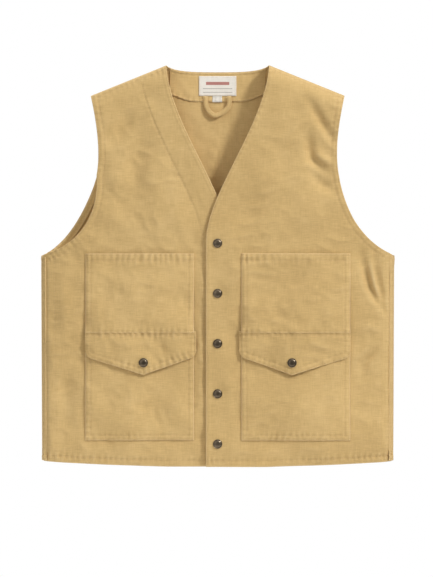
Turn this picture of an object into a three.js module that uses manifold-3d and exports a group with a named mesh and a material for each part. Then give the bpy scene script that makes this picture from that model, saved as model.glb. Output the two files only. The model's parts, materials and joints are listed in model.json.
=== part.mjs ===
// Canvas fishing vest: V-neck front closed by five snaps, two double patch pockets with snapped flaps,
// and a rear pocket as wide as the back.
//
// Millimetres. The pieces are drawn as a tailor's flat patterns: x is across the wearer (+ is the
// wearer's left), y is the height above the hem, z is forward. The vest is as flat as one that hangs
// from a hanger. The last lines stand it up: +Z up, front facing -Y, origin midway between the high
// points of the shoulders.
import * as THREE from "three";
import { mergeVertices } from "three/addons/utils/BufferGeometryUtils.js";
import Module from "manifold-3d";

// ---------------------------------------------------------------- driving dimensions
const CLOTH = 1.0; // one ply of canvas
const GAP = 0.3; // air between two pieces that touch
const BODY_DEPTH = 29; // inside, from the back to the facing of the right front

const LENGTH = 651; // from the hem to the neck point
const HALF_CHEST = 286.7; // from the centre line to the top of the side seam
const SIDE_TAPER = 1.5; // how much narrower the vest is at the foot of the side seam
const HEM = { flat: 80, rise: 9 }; // level to here from the centre, and this much higher at the side
const NECK_HALF_WIDTH = 83.4; // from the centre line to the neck point
const BACK_NECK_DROP = 9.5; // the neck edge at the centre back, below the neck points
const SHOULDER_TIP = { x: 206, drop: 49.5 }; // outer end of the shoulder, below the neck point
const ARMHOLE_DEPTH = 259.5; // from the shoulder tip down to the side seam
const ACROSS_CHEST = 196; // from the centre line to the armhole, halfway down it
// How much less the armhole is hollowed than on the right front. The left front lies out over the back.
const BACK_FULLNESS = 10;
const LEFT_FULLNESS = 2;
const RIGHT_FULLNESS = -9;

const LAP = 19; // the fronts pass the centre line by this much
const NECK_BREAK = 365; // height where the straight front edge turns into the V neck
const FACING_WIDTH = 44;
const ARM_FACING_WIDTH = 12;
const NECK_FACING = { half: 68, side: 53, centre: 59 }; // half width, and depths below the neck point

const FOLD_INSET = 5.2; // the line that each front folds along meets the hem this far inside its corner
const FOLD_TOP_DROP = 23; // the folding part of the front ends this far below the neck point
const FOLD_ROOM = 2; // bare cloth left on each side of the fold line
const FOLD_ANGLE = THREE.MathUtils.degToRad(60); // how far a front folds open
const FOLD_CLEARANCE = 1.2; // between the two parts of the upper pocket when it is folded

// Pocket edges: from the centre line, from the side seam, and above the hem.
const POCKET = { centre: 38, side: 71, bottom: 43, mouth: 205, seam: 218, top: 345 };
const LOWER_POCKET_ROOM = 5.6; // inside depth
const SEAM_ROOM = 1.7; // between the flap's top edge and the upper pocket's bottom edge
const FLAP = { overhang: 3, drop: 29, point: 69, corner: 12 }; // past the pocket, and down
const FLAP_SNAP_RISE = 20; // the flap's snap, above its point
const FLAP_POINT_OFFSET = 5; // the point is this much nearer the centre line than the flap's middle
const REAR_POCKET = { side: 13.2, bottom: 42, top: 332, slitBottom: 197, slitTop: 318 };
const REAR_POCKET_ROOM = 6;

const SNAPS = { count: 5, bottom: 37.6, belowBreak: 3.4 }; // front snaps, up to just below the break
const RIVET = 1.7; // radius of the tubes that go through the cloth
const SNAP_HOLE = RIVET + 0.6; // radius of the holes punched in the cloth
const CAP = { radius: 7.5, height: 3.0, rim: 0.9 };
const STUD = { radius: 6.0, base: 0.8, knob: 3.4, neck: 2.8, bore: RIVET + GAP };
const SOCKET = { wall: 2.2, plate: 0.8, play: 0.6, depth: 1.6 };
const POST = { radius: 6.2, flange: 0.8 };

const LABEL = { width: 61, height: 32.4, drop: 48.4, thickness: 0.8, corner: 2 }; // drop is to its lower edge
const SIZE_TAG = { x: -0.5, width: 15.5, height: 10, thickness: 0.5 };
const LOOP = { width: 46, height: 38, band: 7, thickness: 1.6, standOff: 2.1 };

const CURVE_STEPS = 9; // straight steps in one curve of an outline
const ROUND_STEPS = 12; // sides of a round snap part
const FAR = 1000; // larger than the vest, for cutters

// ---------------------------------------------------------------- places that follow from them
const NECK = { x: NECK_HALF_WIDTH, y: LENGTH };
const BACK_NECK = NECK.y - BACK_NECK_DROP;
const SHOULDER = { x: SHOULDER_TIP.x, y: NECK.y - SHOULDER_TIP.drop };
const ARM_MIDDLE = { x: ACROSS_CHEST, y: SHOULDER.y - ARMHOLE_DEPTH / 2 };
const UNDERARM = { x: HALF_CHEST, y: SHOULDER.y - ARMHOLE_DEPTH };
const HEM_CORNER = { x: HALF_CHEST - SIDE_TAPER, y: HEM.rise };
const FOLD_FOOT = HEM_CORNER.x - FOLD_INSET;
const FOLD_TOP = NECK.y - FOLD_TOP_DROP;
const POCKET_SIDE = HEM_CORNER.x - POCKET.side;
const FLAP_MIDDLE = (POCKET.centre - FLAP.overhang + POCKET_SIDE) / 2;
const FLAP_SNAP = { x: FLAP_MIDDLE - FLAP_POINT_OFFSET, y: POCKET.seam - FLAP.point + FLAP_SNAP_RISE };
const LABEL_BOTTOM = NECK.y - LABEL.drop;

// ---------------------------------------------------------------- how the layers stack, along z
const BACK_INNER = -16;
const BACK_OUTER = BACK_INNER - CLOTH;
const UNDER_FACING = BACK_INNER + BODY_DEPTH; // inner face of the right front's facing
const TWO_PLIES = 2 * CLOTH + GAP;
const SNAP_STACK = GAP + SOCKET.plate + SOCKET.depth + GAP + STUD.base + GAP; // cloth to cloth
const UNDER_FACE = UNDER_FACING + TWO_PLIES; // outer face of the right front
const OVER_FACE = UNDER_FACE + SNAP_STACK + TWO_PLIES; // outer face of the left front, which laps over
const LOWER_POCKET_FACE = GAP + LOWER_POCKET_ROOM + CLOTH; // measured from the front's outer face
const FLAP_INNER = LOWER_POCKET_FACE + SNAP_STACK;
const FLAP_FACE = FLAP_INNER + TWO_PLIES;
const UPPER_POCKET_FACE = FLAP_INNER - GAP; // the flap lies level with the upper pocket
// The upper pocket crosses the fold line, so it is cut back on each side to swing clear of itself.
const POCKET_CUT_INSIDE = 5;
const POCKET_CUT_OUTSIDE =
  UPPER_POCKET_FACE * Math.sin(FOLD_ANGLE) - POCKET_CUT_INSIDE * Math.cos(FOLD_ANGLE) + FOLD_CLEARANCE;

// ---------------------------------------------------------------- solids
const wasm = await Module();
wasm.setup();

// A closed geometry as a solid that can be joined and cut.
function solid(geometry) {
  const bare = geometry.clone();
  bare.deleteAttribute("normal");
  bare.deleteAttribute("uv");
  const merged = mergeVertices(bare, 1e-4);
  return new wasm.Manifold(
    new wasm.Mesh({
      numProp: 3,
      vertProperties: merged.attributes.position.array,
      triVerts: new Uint32Array(merged.index.array),
    }),
  );
}

function geometryOf(made) {
  const mesh = made.getMesh();
  const geometry = new THREE.BufferGeometry();
  geometry.setAttribute("position", new THREE.BufferAttribute(mesh.vertProperties, 3));
  geometry.setIndex(new THREE.BufferAttribute(mesh.triVerts, 1));
  return geometry;
}

// The same geometry on the wearer's right, with its faces still pointing out.
function mirrored(geometry) {
  const copy = geometry.clone().scale(-1, 1, 1);
  const index = copy.index.array;
  for (let i = 0; i < index.length; i += 3) {
    [index[i + 1], index[i + 2]] = [index[i + 2], index[i + 1]];
  }
  return copy;
}

// An outline as a slab from z = low to z = high.
function slab(shape, low, high) {
  const depth = high - low;
  const options = { depth, bevelEnabled: false, curveSegments: CURVE_STEPS };
  return solid(new THREE.ExtrudeGeometry(shape, options).translate(0, 0, low));
}

// A profile drawn as (z, y), swept across from x = low to x = high.
function sweptAcross(profile, low, high) {
  const options = { depth: high - low, bevelEnabled: false, curveSegments: CURVE_STEPS };
  const geometry = new THREE.ExtrudeGeometry(profile, options);
  return geometry.rotateY(-Math.PI / 2).translate(high, 0, 0);
}

// A profile of (radius, z) points turned round the z axis.
function turned(points) {
  const profile = points.map(([radius, z]) => new THREE.Vector2(radius, z));
  return new THREE.LatheGeometry(profile, ROUND_STEPS).rotateX(Math.PI / 2);
}

// ---------------------------------------------------------------- outlines, for the wearer's left
function polygon(points) {
  return new THREE.Shape(points.map(([x, y]) => new THREE.Vector2(x, y)));
}

function rectangle(left, bottom, right, top) {
  return polygon([[left, bottom], [right, bottom], [right, top], [left, top]]);
}

// The V neck and front edge, from the hem to the neck point.
function addFrontEdge(path) {
  path.lineTo(-LAP, NECK_BREAK);
  path.bezierCurveTo(-LAP, NECK_BREAK + 75, NECK.x - 8.4, NECK.y - 91, NECK.x, NECK.y);
}

// The armhole, from the shoulder tip to the underarm. fullness is how much less it is hollowed.
function addArmhole(path, fullness) {
  const middle = ARM_MIDDLE;
  path.bezierCurveTo(SHOULDER.x - 9, SHOULDER.y - 35, middle.x - 8, middle.y + 39, middle.x, middle.y);
  path.bezierCurveTo(
    middle.x + 5 + fullness, middle.y - 51 + fullness,
    UNDERARM.x - 58.7 + fullness, UNDERARM.y + 20 + 0.3 * fullness,
    UNDERARM.x, UNDERARM.y,
  );
}

// The side seam and hem, from the underarm to the centre line or front edge at x.
function addSideAndHem(path, x) {
  path.lineTo(HEM_CORNER.x, HEM_CORNER.y);
  path.quadraticCurveTo((HEM_CORNER.x + HEM.flat) / 2 - 30, 1, HEM.flat, 0);
  path.lineTo(x, 0);
}

function frontOutline(fullness) {
  const shape = new THREE.Shape();
  shape.moveTo(-LAP, 0);
  addFrontEdge(shape);
  shape.lineTo(SHOULDER.x, SHOULDER.y);
  addArmhole(shape, fullness);
  addSideAndHem(shape, -LAP);
  return shape;
}

// Half of the back, reaching past the centre line by overlap.
function backOutline(overlap) {
  const shape = new THREE.Shape();
  shape.moveTo(-overlap, 0);
  shape.lineTo(-overlap, BACK_NECK);
  shape.bezierCurveTo(NECK.x * 0.5, BACK_NECK, NECK.x * 0.84, BACK_NECK + 1, NECK.x, NECK.y);
  shape.lineTo(SHOULDER.x, SHOULDER.y);
  addArmhole(shape, BACK_FULLNESS);
  addSideAndHem(shape, -overlap);
  return shape;
}

// Points beside a path, width away on its right.
function strip(path, steps, width) {
  const edge = path.getSpacedPoints(steps);
  const inner = edge.map((point, i) => {
    const tangent = path.getTangentAt(i / steps);
    return new THREE.Vector2(point.x + tangent.y * width, point.y - tangent.x * width);
  });
  return new THREE.Shape([...inner, ...edge.reverse()]);
}

// The fold line runs from the neck point to the hem. This is all that lies outside it, past an offset.
const foldDirection = new THREE.Vector2(NECK.x - FOLD_FOOT, NECK.y).normalize();
function outsideFold(offset) {
  const shift = offset / foldDirection.y;
  const lean = foldDirection.x / foldDirection.y;
  const at = (y) => FOLD_FOOT + shift + lean * y;
  return polygon([[at(-FAR), -FAR], [FAR, -FAR], [FAR, FAR], [at(FAR), FAR]]);
}

// ---------------------------------------------------------------- body panels
// The ridge of the shoulder falls from the neck to the tip.
const shoulderSlope = (SHOULDER.y - NECK.y) / (SHOULDER.x - NECK.x);

// One side of the body as bent cloth: flat below, and rounded over half of the shoulder ridge.
// face is the z of its outer face, and the ridge is midway between that and the other side's.
function bentSheet(face, otherFace, low, high) {
  const ridge = (face + otherFace) / 2;
  const forward = Math.sign(face - otherFace);
  const radius = Math.abs(face - otherFace) / 2;
  const level = NECK.y - radius; // where the shoulder starts to round, at the neck
  const seam = ridge + (forward * GAP) / 2;
  const profile = new THREE.Shape();
  profile.moveTo(face, -FAR);
  profile.lineTo(face, level);
  for (let i = 1; i <= CURVE_STEPS; i++) {
    const turn = ((Math.PI / 2) * i) / CURVE_STEPS;
    const across = Math.max(radius * Math.cos(turn), GAP / 2);
    profile.lineTo(ridge + forward * across, level + radius * Math.sin(turn));
  }
  for (let i = CURVE_STEPS; i >= 0; i--) {
    const turn = ((Math.PI / 2) * i) / CURVE_STEPS;
    const inner = radius - CLOTH;
    const across = Math.max(inner * Math.cos(turn), Math.abs(seam - ridge));
    profile.lineTo(ridge + forward * across, level + inner * Math.sin(turn));
  }
  profile.lineTo(face - forward * CLOTH, -FAR);
  const slant = new THREE.Matrix4().set(
    1, 0, 0, 0,
    shoulderSlope, 1, 0, -shoulderSlope * NECK.x,
    0, 0, 1, 0,
    0, 0, 0, 1,
  );
  return solid(sweptAcross(profile, low, high).applyMatrix4(slant));
}

// The side of the back, brought forward to the front at the side seam.
function sideWall(frontFace) {
  const lean = (UNDERARM.x - HEM_CORNER.x) / (UNDERARM.y - HEM_CORNER.y);
  const end = frontFace - CLOTH - GAP;
  const shape = polygon([[BACK_OUTER, 0], [end, 0], [end, UNDERARM.y + 2], [BACK_OUTER, UNDERARM.y + 2]]);
  const wall = sweptAcross(shape, HEM_CORNER.x - CLOTH, HEM_CORNER.x + 2 * CLOTH);
  const slant = new THREE.Matrix4().set(
    1, lean, 0, -lean * HEM_CORNER.y,
    0, 1, 0, 0,
    0, 0, 1, 0,
    0, 0, 0, 1,
  );
  return solid(wall.applyMatrix4(slant));
}

// Half of the back for one side, with the side wall and the rear half of its shoulder.
function halfBack(frontFace) {
  const outline = slab(backOutline(CLOTH), -FAR, FAR);
  return bentSheet(BACK_OUTER, frontFace, -CLOTH, UNDERARM.x + CLOTH)
    .add(sideWall(frontFace))
    .intersect(outline);
}

// The part of a front that stays with the back: shoulder, armhole and side.
function frontYoke(face, fullness) {
  const outline = slab(frontOutline(fullness), -FAR, FAR);
  const top = slab(rectangle(-FAR, FOLD_TOP + FOLD_ROOM, FAR, FAR), -FAR, FAR);
  const kept = slab(outsideFold(FOLD_ROOM), -FAR, FAR).add(top);
  return bentSheet(face, BACK_OUTER, 0, UNDERARM.x + CLOTH).intersect(outline).intersect(kept);
}

// The part of a front that folds open, one ply from z = low to z = low + CLOTH.
function foldingPart(shape, low) {
  const swing = slab(outsideFold(-FOLD_ROOM), -FAR, FAR);
  const top = slab(rectangle(-FAR, FOLD_TOP, FAR, FAR), -FAR, FAR);
  return slab(shape, low, low + CLOTH).subtract(swing).subtract(top);
}

// Snap holes, drawn the opposite way round from the outline.
function punch(shape, holes) {
  const clockwise = !THREE.ShapeUtils.isClockWise(shape.getPoints());
  for (const [x, y] of holes) {
    shape.holes.push(new THREE.Path().absarc(x, y, SNAP_HOLE, 0, 2 * Math.PI, clockwise));
  }
  return shape;
}

const snapPitch = (NECK_BREAK - SNAPS.belowBreak - SNAPS.bottom) / (SNAPS.count - 1);
const snapHeights = Array.from({ length: SNAPS.count }, (_, i) => SNAPS.bottom + snapPitch * i);
const frontSnaps = snapHeights.map((y) => [0, y]);

function frontFacing() {
  const edge = new THREE.Path();
  edge.moveTo(-LAP, 0);
  addFrontEdge(edge);
  return punch(strip(edge, 3 * CURVE_STEPS, FACING_WIDTH), frontSnaps);
}

// A strip inside the armhole, clear of the rounded shoulder and of the side wall.
function armFacing(fullness, low) {
  const edge = new THREE.Path();
  edge.moveTo(SHOULDER.x, SHOULDER.y);
  addArmhole(edge, fullness);
  const shape = strip(edge, 2 * CURVE_STEPS, ARM_FACING_WIDTH);
  const room = rectangle(0, UNDERARM.y + 6, UNDERARM.x - 3 * CLOTH, SHOULDER.y - OVER_FACE);
  return slab(shape, low, low + CLOTH).intersect(slab(room, -FAR, FAR));
}

function neckFacing() {
  const corner = NECK_FACING.half;
  const side = NECK.y - NECK_FACING.side;
  const centre = NECK.y - NECK_FACING.centre;
  const shape = new THREE.Shape();
  shape.moveTo(-corner, side);
  shape.quadraticCurveTo(-corner + 15, centre, -corner + 34, centre);
  shape.lineTo(corner - 34, centre);
  shape.quadraticCurveTo(corner - 15, centre, corner, side);
  shape.lineTo(corner, BACK_NECK - 6);
  shape.quadraticCurveTo(0, BACK_NECK - 5, -corner, BACK_NECK - 6);
  return slab(shape, BACK_INNER + GAP, BACK_INNER + GAP + CLOTH);
}

// ---------------------------------------------------------------- pockets
// A shallow tray sewn on by its edges. The cavity may pass the outline, which leaves that side open.
function tray(outline, cavity, base, face) {
  const floor = face > base ? [base - 1, face - CLOTH] : [face + CLOTH, base + 1];
  const body = slab(outline, Math.min(base, face), Math.max(base, face));
  return body.subtract(slab(cavity, ...floor));
}

function lowerPocket() {
  const { centre, bottom, mouth } = POCKET;
  const outline = punch(rectangle(centre, bottom, POCKET_SIDE, mouth), [[FLAP_SNAP.x, FLAP_SNAP.y]]);
  const cavity = rectangle(centre + CLOTH, bottom + CLOTH, POCKET_SIDE - CLOTH, mouth + CLOTH);
  return tray(outline, cavity, GAP, LOWER_POCKET_FACE);
}

function upperPocketTray() {
  const { centre, top } = POCKET;
  const bottom = POCKET.seam + SEAM_ROOM;
  const outline = rectangle(centre, bottom, POCKET_SIDE, top);
  const cavity = rectangle(centre + CLOTH, bottom + CLOTH, POCKET_SIDE - CLOTH, top + CLOTH);
  return tray(outline, cavity, GAP, UPPER_POCKET_FACE);
}

function upperPocket() {
  return upperPocketTray().subtract(slab(outsideFold(-POCKET_CUT_INSIDE), -FAR, FAR));
}

function upperPocketCorner() {
  return upperPocketTray().intersect(slab(outsideFold(POCKET_CUT_OUTSIDE), -FAR, FAR));
}

// Pointed flap with rounded shoulders, hinged along its top edge.
function flapOutline(inset) {
  const { corner } = FLAP;
  const [inner, outer] = [POCKET.centre - FLAP.overhang + inset, POCKET_SIDE - inset];
  const [side, tip] = [POCKET.seam - FLAP.drop, POCKET.seam - FLAP.point + inset];
  const shape = new THREE.Shape();
  shape.moveTo(inner, POCKET.seam);
  shape.lineTo(inner, side);
  shape.quadraticCurveTo(inner, side - corner, inner + 1.3 * corner, side - 1.3 * corner);
  shape.lineTo(FLAP_SNAP.x, tip);
  shape.lineTo(outer - 1.3 * corner, side - 1.3 * corner);
  shape.quadraticCurveTo(outer, side - corner, outer, side);
  shape.lineTo(outer, POCKET.seam);
  return punch(shape, [[FLAP_SNAP.x, FLAP_SNAP.y]]);
}

function rearPocket() {
  const { bottom, top, slitBottom, slitTop } = REAR_POCKET;
  const half = HEM_CORNER.x - REAR_POCKET.side;
  const base = BACK_OUTER - GAP;
  const face = base - REAR_POCKET_ROOM - CLOTH;
  const outline = rectangle(-half, bottom, half, top);
  const cavity = rectangle(-half + CLOTH, bottom + CLOTH, half - CLOTH, top - CLOTH);
  const slits = slab(rectangle(-FAR, slitBottom, FAR, slitTop), face + CLOTH, FAR);
  return tray(outline, cavity, base, face).subtract(slits);
}

// ---------------------------------------------------------------- snap fasteners
// z is measured from the cloth's outer face, and stack is how much cloth the rivet passes.
function snapCap(stack) {
  const top = GAP + CAP.height;
  const dome = [0.3, 0.55, 0.8].map((share) => {
    const turn = (Math.PI / 2) * share;
    return [CAP.radius * Math.sin(turn), GAP + CAP.rim + (CAP.height - CAP.rim) * Math.cos(turn)];
  });
  const end = -stack - GAP - SOCKET.plate;
  return turned([
    [0, end], [RIVET, end], [RIVET, GAP], [CAP.radius, GAP], [CAP.radius, GAP + CAP.rim],
    ...dome.reverse(), [0, top],
  ]);
}

function snapSocket(stack) {
  const front = -stack - GAP;
  const plate = front - SOCKET.plate;
  const back = plate - SOCKET.depth;
  const bore = RIVET + GAP;
  const cavity = STUD.knob + SOCKET.play;
  const radius = cavity + SOCKET.wall;
  return turned([
    [bore, front], [bore, plate], [cavity, plate], [cavity, back],
    [radius, back], [radius, front], [bore, front],
  ]);
}

function snapStud() {
  const base = GAP + STUD.base;
  const top = base + SOCKET.depth;
  return turned([
    [STUD.bore, GAP], [STUD.radius, GAP], [STUD.radius, base], [STUD.neck, base],
    [STUD.knob, (base + top) / 2], [STUD.neck, top], [STUD.bore, top], [STUD.bore, GAP],
  ]);
}

function snapPost(stack) {
  const back = -stack - GAP - POST.flange;
  const end = GAP + STUD.base;
  return turned([
    [0, back], [POST.radius, back], [POST.radius, back + POST.flange], [RIVET, back + POST.flange],
    [RIVET, end], [0, end],
  ]);
}

// ---------------------------------------------------------------- neck trimmings
function roundedRectangle(width, height, corner) {
  const shape = new THREE.Shape();
  shape.moveTo(-width / 2 + corner, 0);
  shape.lineTo(width / 2 - corner, 0);
  shape.absarc(width / 2 - corner, corner, corner, -Math.PI / 2, 0);
  shape.lineTo(width / 2, height - corner);
  shape.absarc(width / 2 - corner, height - corner, corner, 0, Math.PI / 2);
  shape.lineTo(-width / 2 + corner, height);
  shape.absarc(-width / 2 + corner, height - corner, corner, Math.PI / 2, Math.PI);
  shape.lineTo(-width / 2, corner);
  shape.absarc(-width / 2 + corner, corner, corner, Math.PI, 1.5 * Math.PI);
  return shape;
}

// A flat U of doubled canvas, hanging down from y = 0.
function hangerLoop() {
  const { width, height, band, thickness } = LOOP;
  const outer = width / 2;
  const inner = outer - band;
  const shape = new THREE.Shape();
  shape.moveTo(-outer, 0);
  shape.lineTo(-outer, -height + outer * 0.6);
  shape.bezierCurveTo(-outer, -height, outer, -height, outer, -height + outer * 0.6);
  shape.lineTo(outer, 0);
  shape.lineTo(inner, 0);
  shape.lineTo(inner, -height + outer * 0.6);
  const crown = -height + band * 1.25;
  shape.bezierCurveTo(inner, crown, -inner, crown, -inner, -height + outer * 0.6);
  shape.lineTo(-inner, 0);
  return slab(shape, 0, thickness);
}

// ---------------------------------------------------------------- materials
const canvas = new THREE.MeshStandardMaterial({ color: 0xc6a26a, roughness: 0.9, metalness: 0 });
const canvasInside = new THREE.MeshStandardMaterial({ color: 0xbd9a62, roughness: 0.92, metalness: 0 });
const labelWeave = new THREE.MeshStandardMaterial({ color: 0xece3d3, roughness: 0.7, metalness: 0 });
const darkBrass = new THREE.MeshStandardMaterial({ color: 0x6b5a42, roughness: 0.35, metalness: 0.9 });
const dullBrass = new THREE.MeshStandardMaterial({ color: 0x8a754f, roughness: 0.45, metalness: 0.9 });

// ---------------------------------------------------------------- assembly
const vest = new THREE.Group();

function place(name, geometry, material, position = [0, 0, 0], group = vest) {
  const mesh = new THREE.Mesh(geometry, material);
  mesh.name = name;
  mesh.position.set(...position);
  group.add(mesh);
}

// The back, with the left half drawn for the deeper left front and the right half for the right front.
const rightHalf = solid(mirrored(geometryOf(halfBack(UNDER_FACE))));
place("back_panel", geometryOf(halfBack(OVER_FACE).add(rightHalf)), canvas);
place("back_neck_facing", geometryOf(neckFacing()), canvasInside);
place("rear_pocket", geometryOf(rearPocket()), canvas);

const labelFloor = BACK_INNER + 2 * GAP + CLOTH;
const label = slab(roundedRectangle(LABEL.width, LABEL.height, LABEL.corner), 0, LABEL.thickness);
place("neck_label", geometryOf(label), labelWeave, [0, LABEL_BOTTOM, labelFloor]);
const tagOutline = rectangle(-SIZE_TAG.width / 2, -SIZE_TAG.height, SIZE_TAG.width / 2, 0);
const tag = slab(tagOutline, 0, SIZE_TAG.thickness);
place("size_tag", geometryOf(tag), labelWeave, [SIZE_TAG.x, LABEL_BOTTOM - GAP, labelFloor]);
const loopPlace = [0, LABEL_BOTTOM - 2 * GAP, BACK_INNER + GAP + CLOTH + LOOP.standOff];
place("hanger_loop", geometryOf(hangerLoop()), canvas, loopPlace);

// Everything that the two fronts have alike. face is the z of that front's outer face.
function addFront(name, face, fullness, turn) {
  const put = (part, made, material, z) =>
    place(`${name}_${part}`, turn(geometryOf(made)), material, [0, 0, z]);
  const facingFloor = -CLOTH - GAP - CLOTH;
  put("front_panel", foldingPart(punch(frontOutline(fullness), frontSnaps), -CLOTH), canvas, face);
  put("front_facing", foldingPart(frontFacing(), facingFloor), canvasInside, face);
  put("front_yoke", frontYoke(face, fullness), canvas, 0);
  put("arm_facing_front", armFacing(fullness, facingFloor), canvasInside, face);
  put("arm_facing_back", armFacing(BACK_FULLNESS, BACK_INNER + GAP), canvasInside, 0);
  put("lower_pocket", lowerPocket(), canvas, face);
  put("upper_pocket", upperPocket(), canvas, face);
  put("upper_pocket_corner", upperPocketCorner(), canvas, face);
  put("flap", slab(flapOutline(0), -CLOTH, 0), canvas, face + FLAP_FACE);
  const lining = slab(flapOutline(CLOTH), -TWO_PLIES, -TWO_PLIES + CLOTH);
  put("flap_lining", lining, canvasInside, face + FLAP_FACE);
}

const asDrawn = (geometry) => geometry;
addFront("left", OVER_FACE, LEFT_FULLNESS, asDrawn);
addFront("right", UNDER_FACE, RIGHT_FULLNESS, mirrored);

// Front snaps, numbered from the hem: cap and socket on the left front, stud and post on the right.
snapHeights.forEach((height, i) => {
  place(`front_snap_cap_${i + 1}`, snapCap(TWO_PLIES), darkBrass, [0, height, OVER_FACE]);
  place(`front_snap_socket_${i + 1}`, snapSocket(TWO_PLIES), dullBrass, [0, height, OVER_FACE]);
  place(`front_snap_stud_${i + 1}`, snapStud(), dullBrass, [0, height, UNDER_FACE]);
  place(`front_snap_post_${i + 1}`, snapPost(TWO_PLIES), dullBrass, [0, height, UNDER_FACE]);
});

// Flap snaps: cap and socket on the flap, stud and post on the lower pocket.
for (const [name, side, face] of [["left", 1, OVER_FACE], ["right", -1, UNDER_FACE]]) {
  const at = [side * FLAP_SNAP.x, FLAP_SNAP.y];
  place(`${name}_flap_cap`, snapCap(TWO_PLIES), darkBrass, [...at, face + FLAP_FACE]);
  place(`${name}_flap_socket`, snapSocket(TWO_PLIES), dullBrass, [...at, face + FLAP_FACE]);
  place(`${name}_flap_stud`, snapStud(), dullBrass, [...at, face + LOWER_POCKET_FACE]);
  place(`${name}_flap_post`, snapPost(CLOTH), dullBrass, [...at, face + LOWER_POCKET_FACE]);
}

// Stood up: y becomes +Z and z becomes -Y, with the neck points at the origin's height.
vest.rotation.x = Math.PI / 2;
vest.position.z = -NECK.y;

const part = new THREE.Group();
part.add(vest);
export default part;
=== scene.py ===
import json
import math

import bmesh
import bpy
import numpy as np
from mathutils import Matrix, Vector

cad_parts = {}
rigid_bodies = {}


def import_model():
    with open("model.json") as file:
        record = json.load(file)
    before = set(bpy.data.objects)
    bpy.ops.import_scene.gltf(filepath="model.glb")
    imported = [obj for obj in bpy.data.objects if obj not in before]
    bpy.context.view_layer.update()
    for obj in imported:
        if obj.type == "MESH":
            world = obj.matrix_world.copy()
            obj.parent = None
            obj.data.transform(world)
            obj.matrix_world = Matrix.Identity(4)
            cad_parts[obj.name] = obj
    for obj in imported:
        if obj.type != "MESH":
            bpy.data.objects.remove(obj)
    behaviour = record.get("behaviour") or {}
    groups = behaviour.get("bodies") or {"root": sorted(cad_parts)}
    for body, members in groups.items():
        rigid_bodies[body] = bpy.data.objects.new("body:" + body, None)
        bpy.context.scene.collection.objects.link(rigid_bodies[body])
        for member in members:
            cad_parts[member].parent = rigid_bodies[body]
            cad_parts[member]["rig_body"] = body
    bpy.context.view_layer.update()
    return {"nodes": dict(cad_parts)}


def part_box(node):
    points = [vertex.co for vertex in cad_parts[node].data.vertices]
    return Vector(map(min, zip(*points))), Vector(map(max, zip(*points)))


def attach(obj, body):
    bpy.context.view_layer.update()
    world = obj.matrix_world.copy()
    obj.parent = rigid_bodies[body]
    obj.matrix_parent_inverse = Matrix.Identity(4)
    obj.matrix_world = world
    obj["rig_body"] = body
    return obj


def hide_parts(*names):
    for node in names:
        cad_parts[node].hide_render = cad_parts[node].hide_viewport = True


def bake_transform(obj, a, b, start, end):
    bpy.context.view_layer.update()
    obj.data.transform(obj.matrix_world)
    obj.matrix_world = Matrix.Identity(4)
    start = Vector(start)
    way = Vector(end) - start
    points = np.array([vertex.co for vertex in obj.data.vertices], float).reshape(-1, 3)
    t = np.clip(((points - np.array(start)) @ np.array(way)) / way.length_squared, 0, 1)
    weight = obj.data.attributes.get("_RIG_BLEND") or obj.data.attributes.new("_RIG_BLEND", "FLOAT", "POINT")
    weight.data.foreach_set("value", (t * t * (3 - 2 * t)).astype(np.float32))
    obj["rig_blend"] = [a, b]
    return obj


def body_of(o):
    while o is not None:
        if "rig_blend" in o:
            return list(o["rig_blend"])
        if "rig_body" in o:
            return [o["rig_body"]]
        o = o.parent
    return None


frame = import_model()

# ------------------------------------------------------------------ sizes, in metres
# Cloth is drawn as a flat pattern: s runs across the wearer from the centre line to the wearer's left,
# and h is the height above the hem. The right side is the left one mirrored.
back_low, back_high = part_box("back_panel")
HEM_Z = back_low.z
LENGTH = back_high.z - back_low.z
HALF_CHEST = back_high.x
BACK_Y = back_high.y
FRONT_Y = {side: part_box(f"{side}_front_yoke")[0].y for side in ("left", "right")}
SIGN = {"left": 1, "right": -1}

NECK = (0.0834, LENGTH)
SHOULDER = (0.206, LENGTH - 0.0495)
ARM_MIDDLE = (0.196, SHOULDER[1] - 0.1298)
UNDERARM = (HALF_CHEST, SHOULDER[1] - 0.2595)
HEM_CORNER = (HALF_CHEST - 0.0015, 0.009)
HEM_FLAT = 0.080
BACK_NECK = LENGTH - 0.0095
LAP = 0.019
NECK_BREAK = 0.365
FACING_WIDTH = 0.044
ARM_FACING_WIDTH = 0.012
FULLNESS = {"left": 0.002, "right": -0.009}
BACK_FULLNESS = {"left": 0.0, "right": 0.010}  # the back shows past the front only at the right armhole
FOLD_FOOT = HEM_CORNER[0] - 0.0052

PLY = 0.0011  # one ply of canvas
SHOULDER_ROUND = 0.032  # height over which the cloth turns over the shoulder
SIDE_ROUND = 0.028  # width over which it turns round the side
SEAM_INSET = 0.008  # the side seam lies this far in from the side, on the front
SEWN = 0.0017  # how far the sewn-down edge of a pocket stands off
FLAP_OFF = 0.0040  # how far a flap lies off its pocket, away from the snap
STITCH = 0.0032  # from one stitch to the next
THREAD = 0.00027  # radius
FACING_PLY = 0.0010
BETWEEN_PLIES = 0.0023  # from the outer cloth's face to the face of a layer inside it
MESH_STEP = 0.0024
EDGE_STEP = 0.0012  # near the edges, which are rounded off
REAR_STEP = 0.0031  # on the back, which is larger


def corners(node):
    """The outline of a pocket's CAD node: inner x, outer x, lower h, upper h, and how far it stands off."""
    low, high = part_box(node)
    side = node.split("_")[0]
    inner, outer = sorted((abs(low.x), abs(high.x)))
    return inner, outer, low.z - HEM_Z, high.z - HEM_Z, FRONT_Y[side] - low.y


# ------------------------------------------------------------------ outlines
def bezier(points, steps=40):
    a, b, c, d = (np.array(p) for p in points)
    t = np.linspace(0, 1, steps + 1)[:, None]
    return (1 - t) ** 3 * a + 3 * t * (1 - t) ** 2 * b + 3 * t * t * (1 - t) * c + t**3 * d


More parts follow.
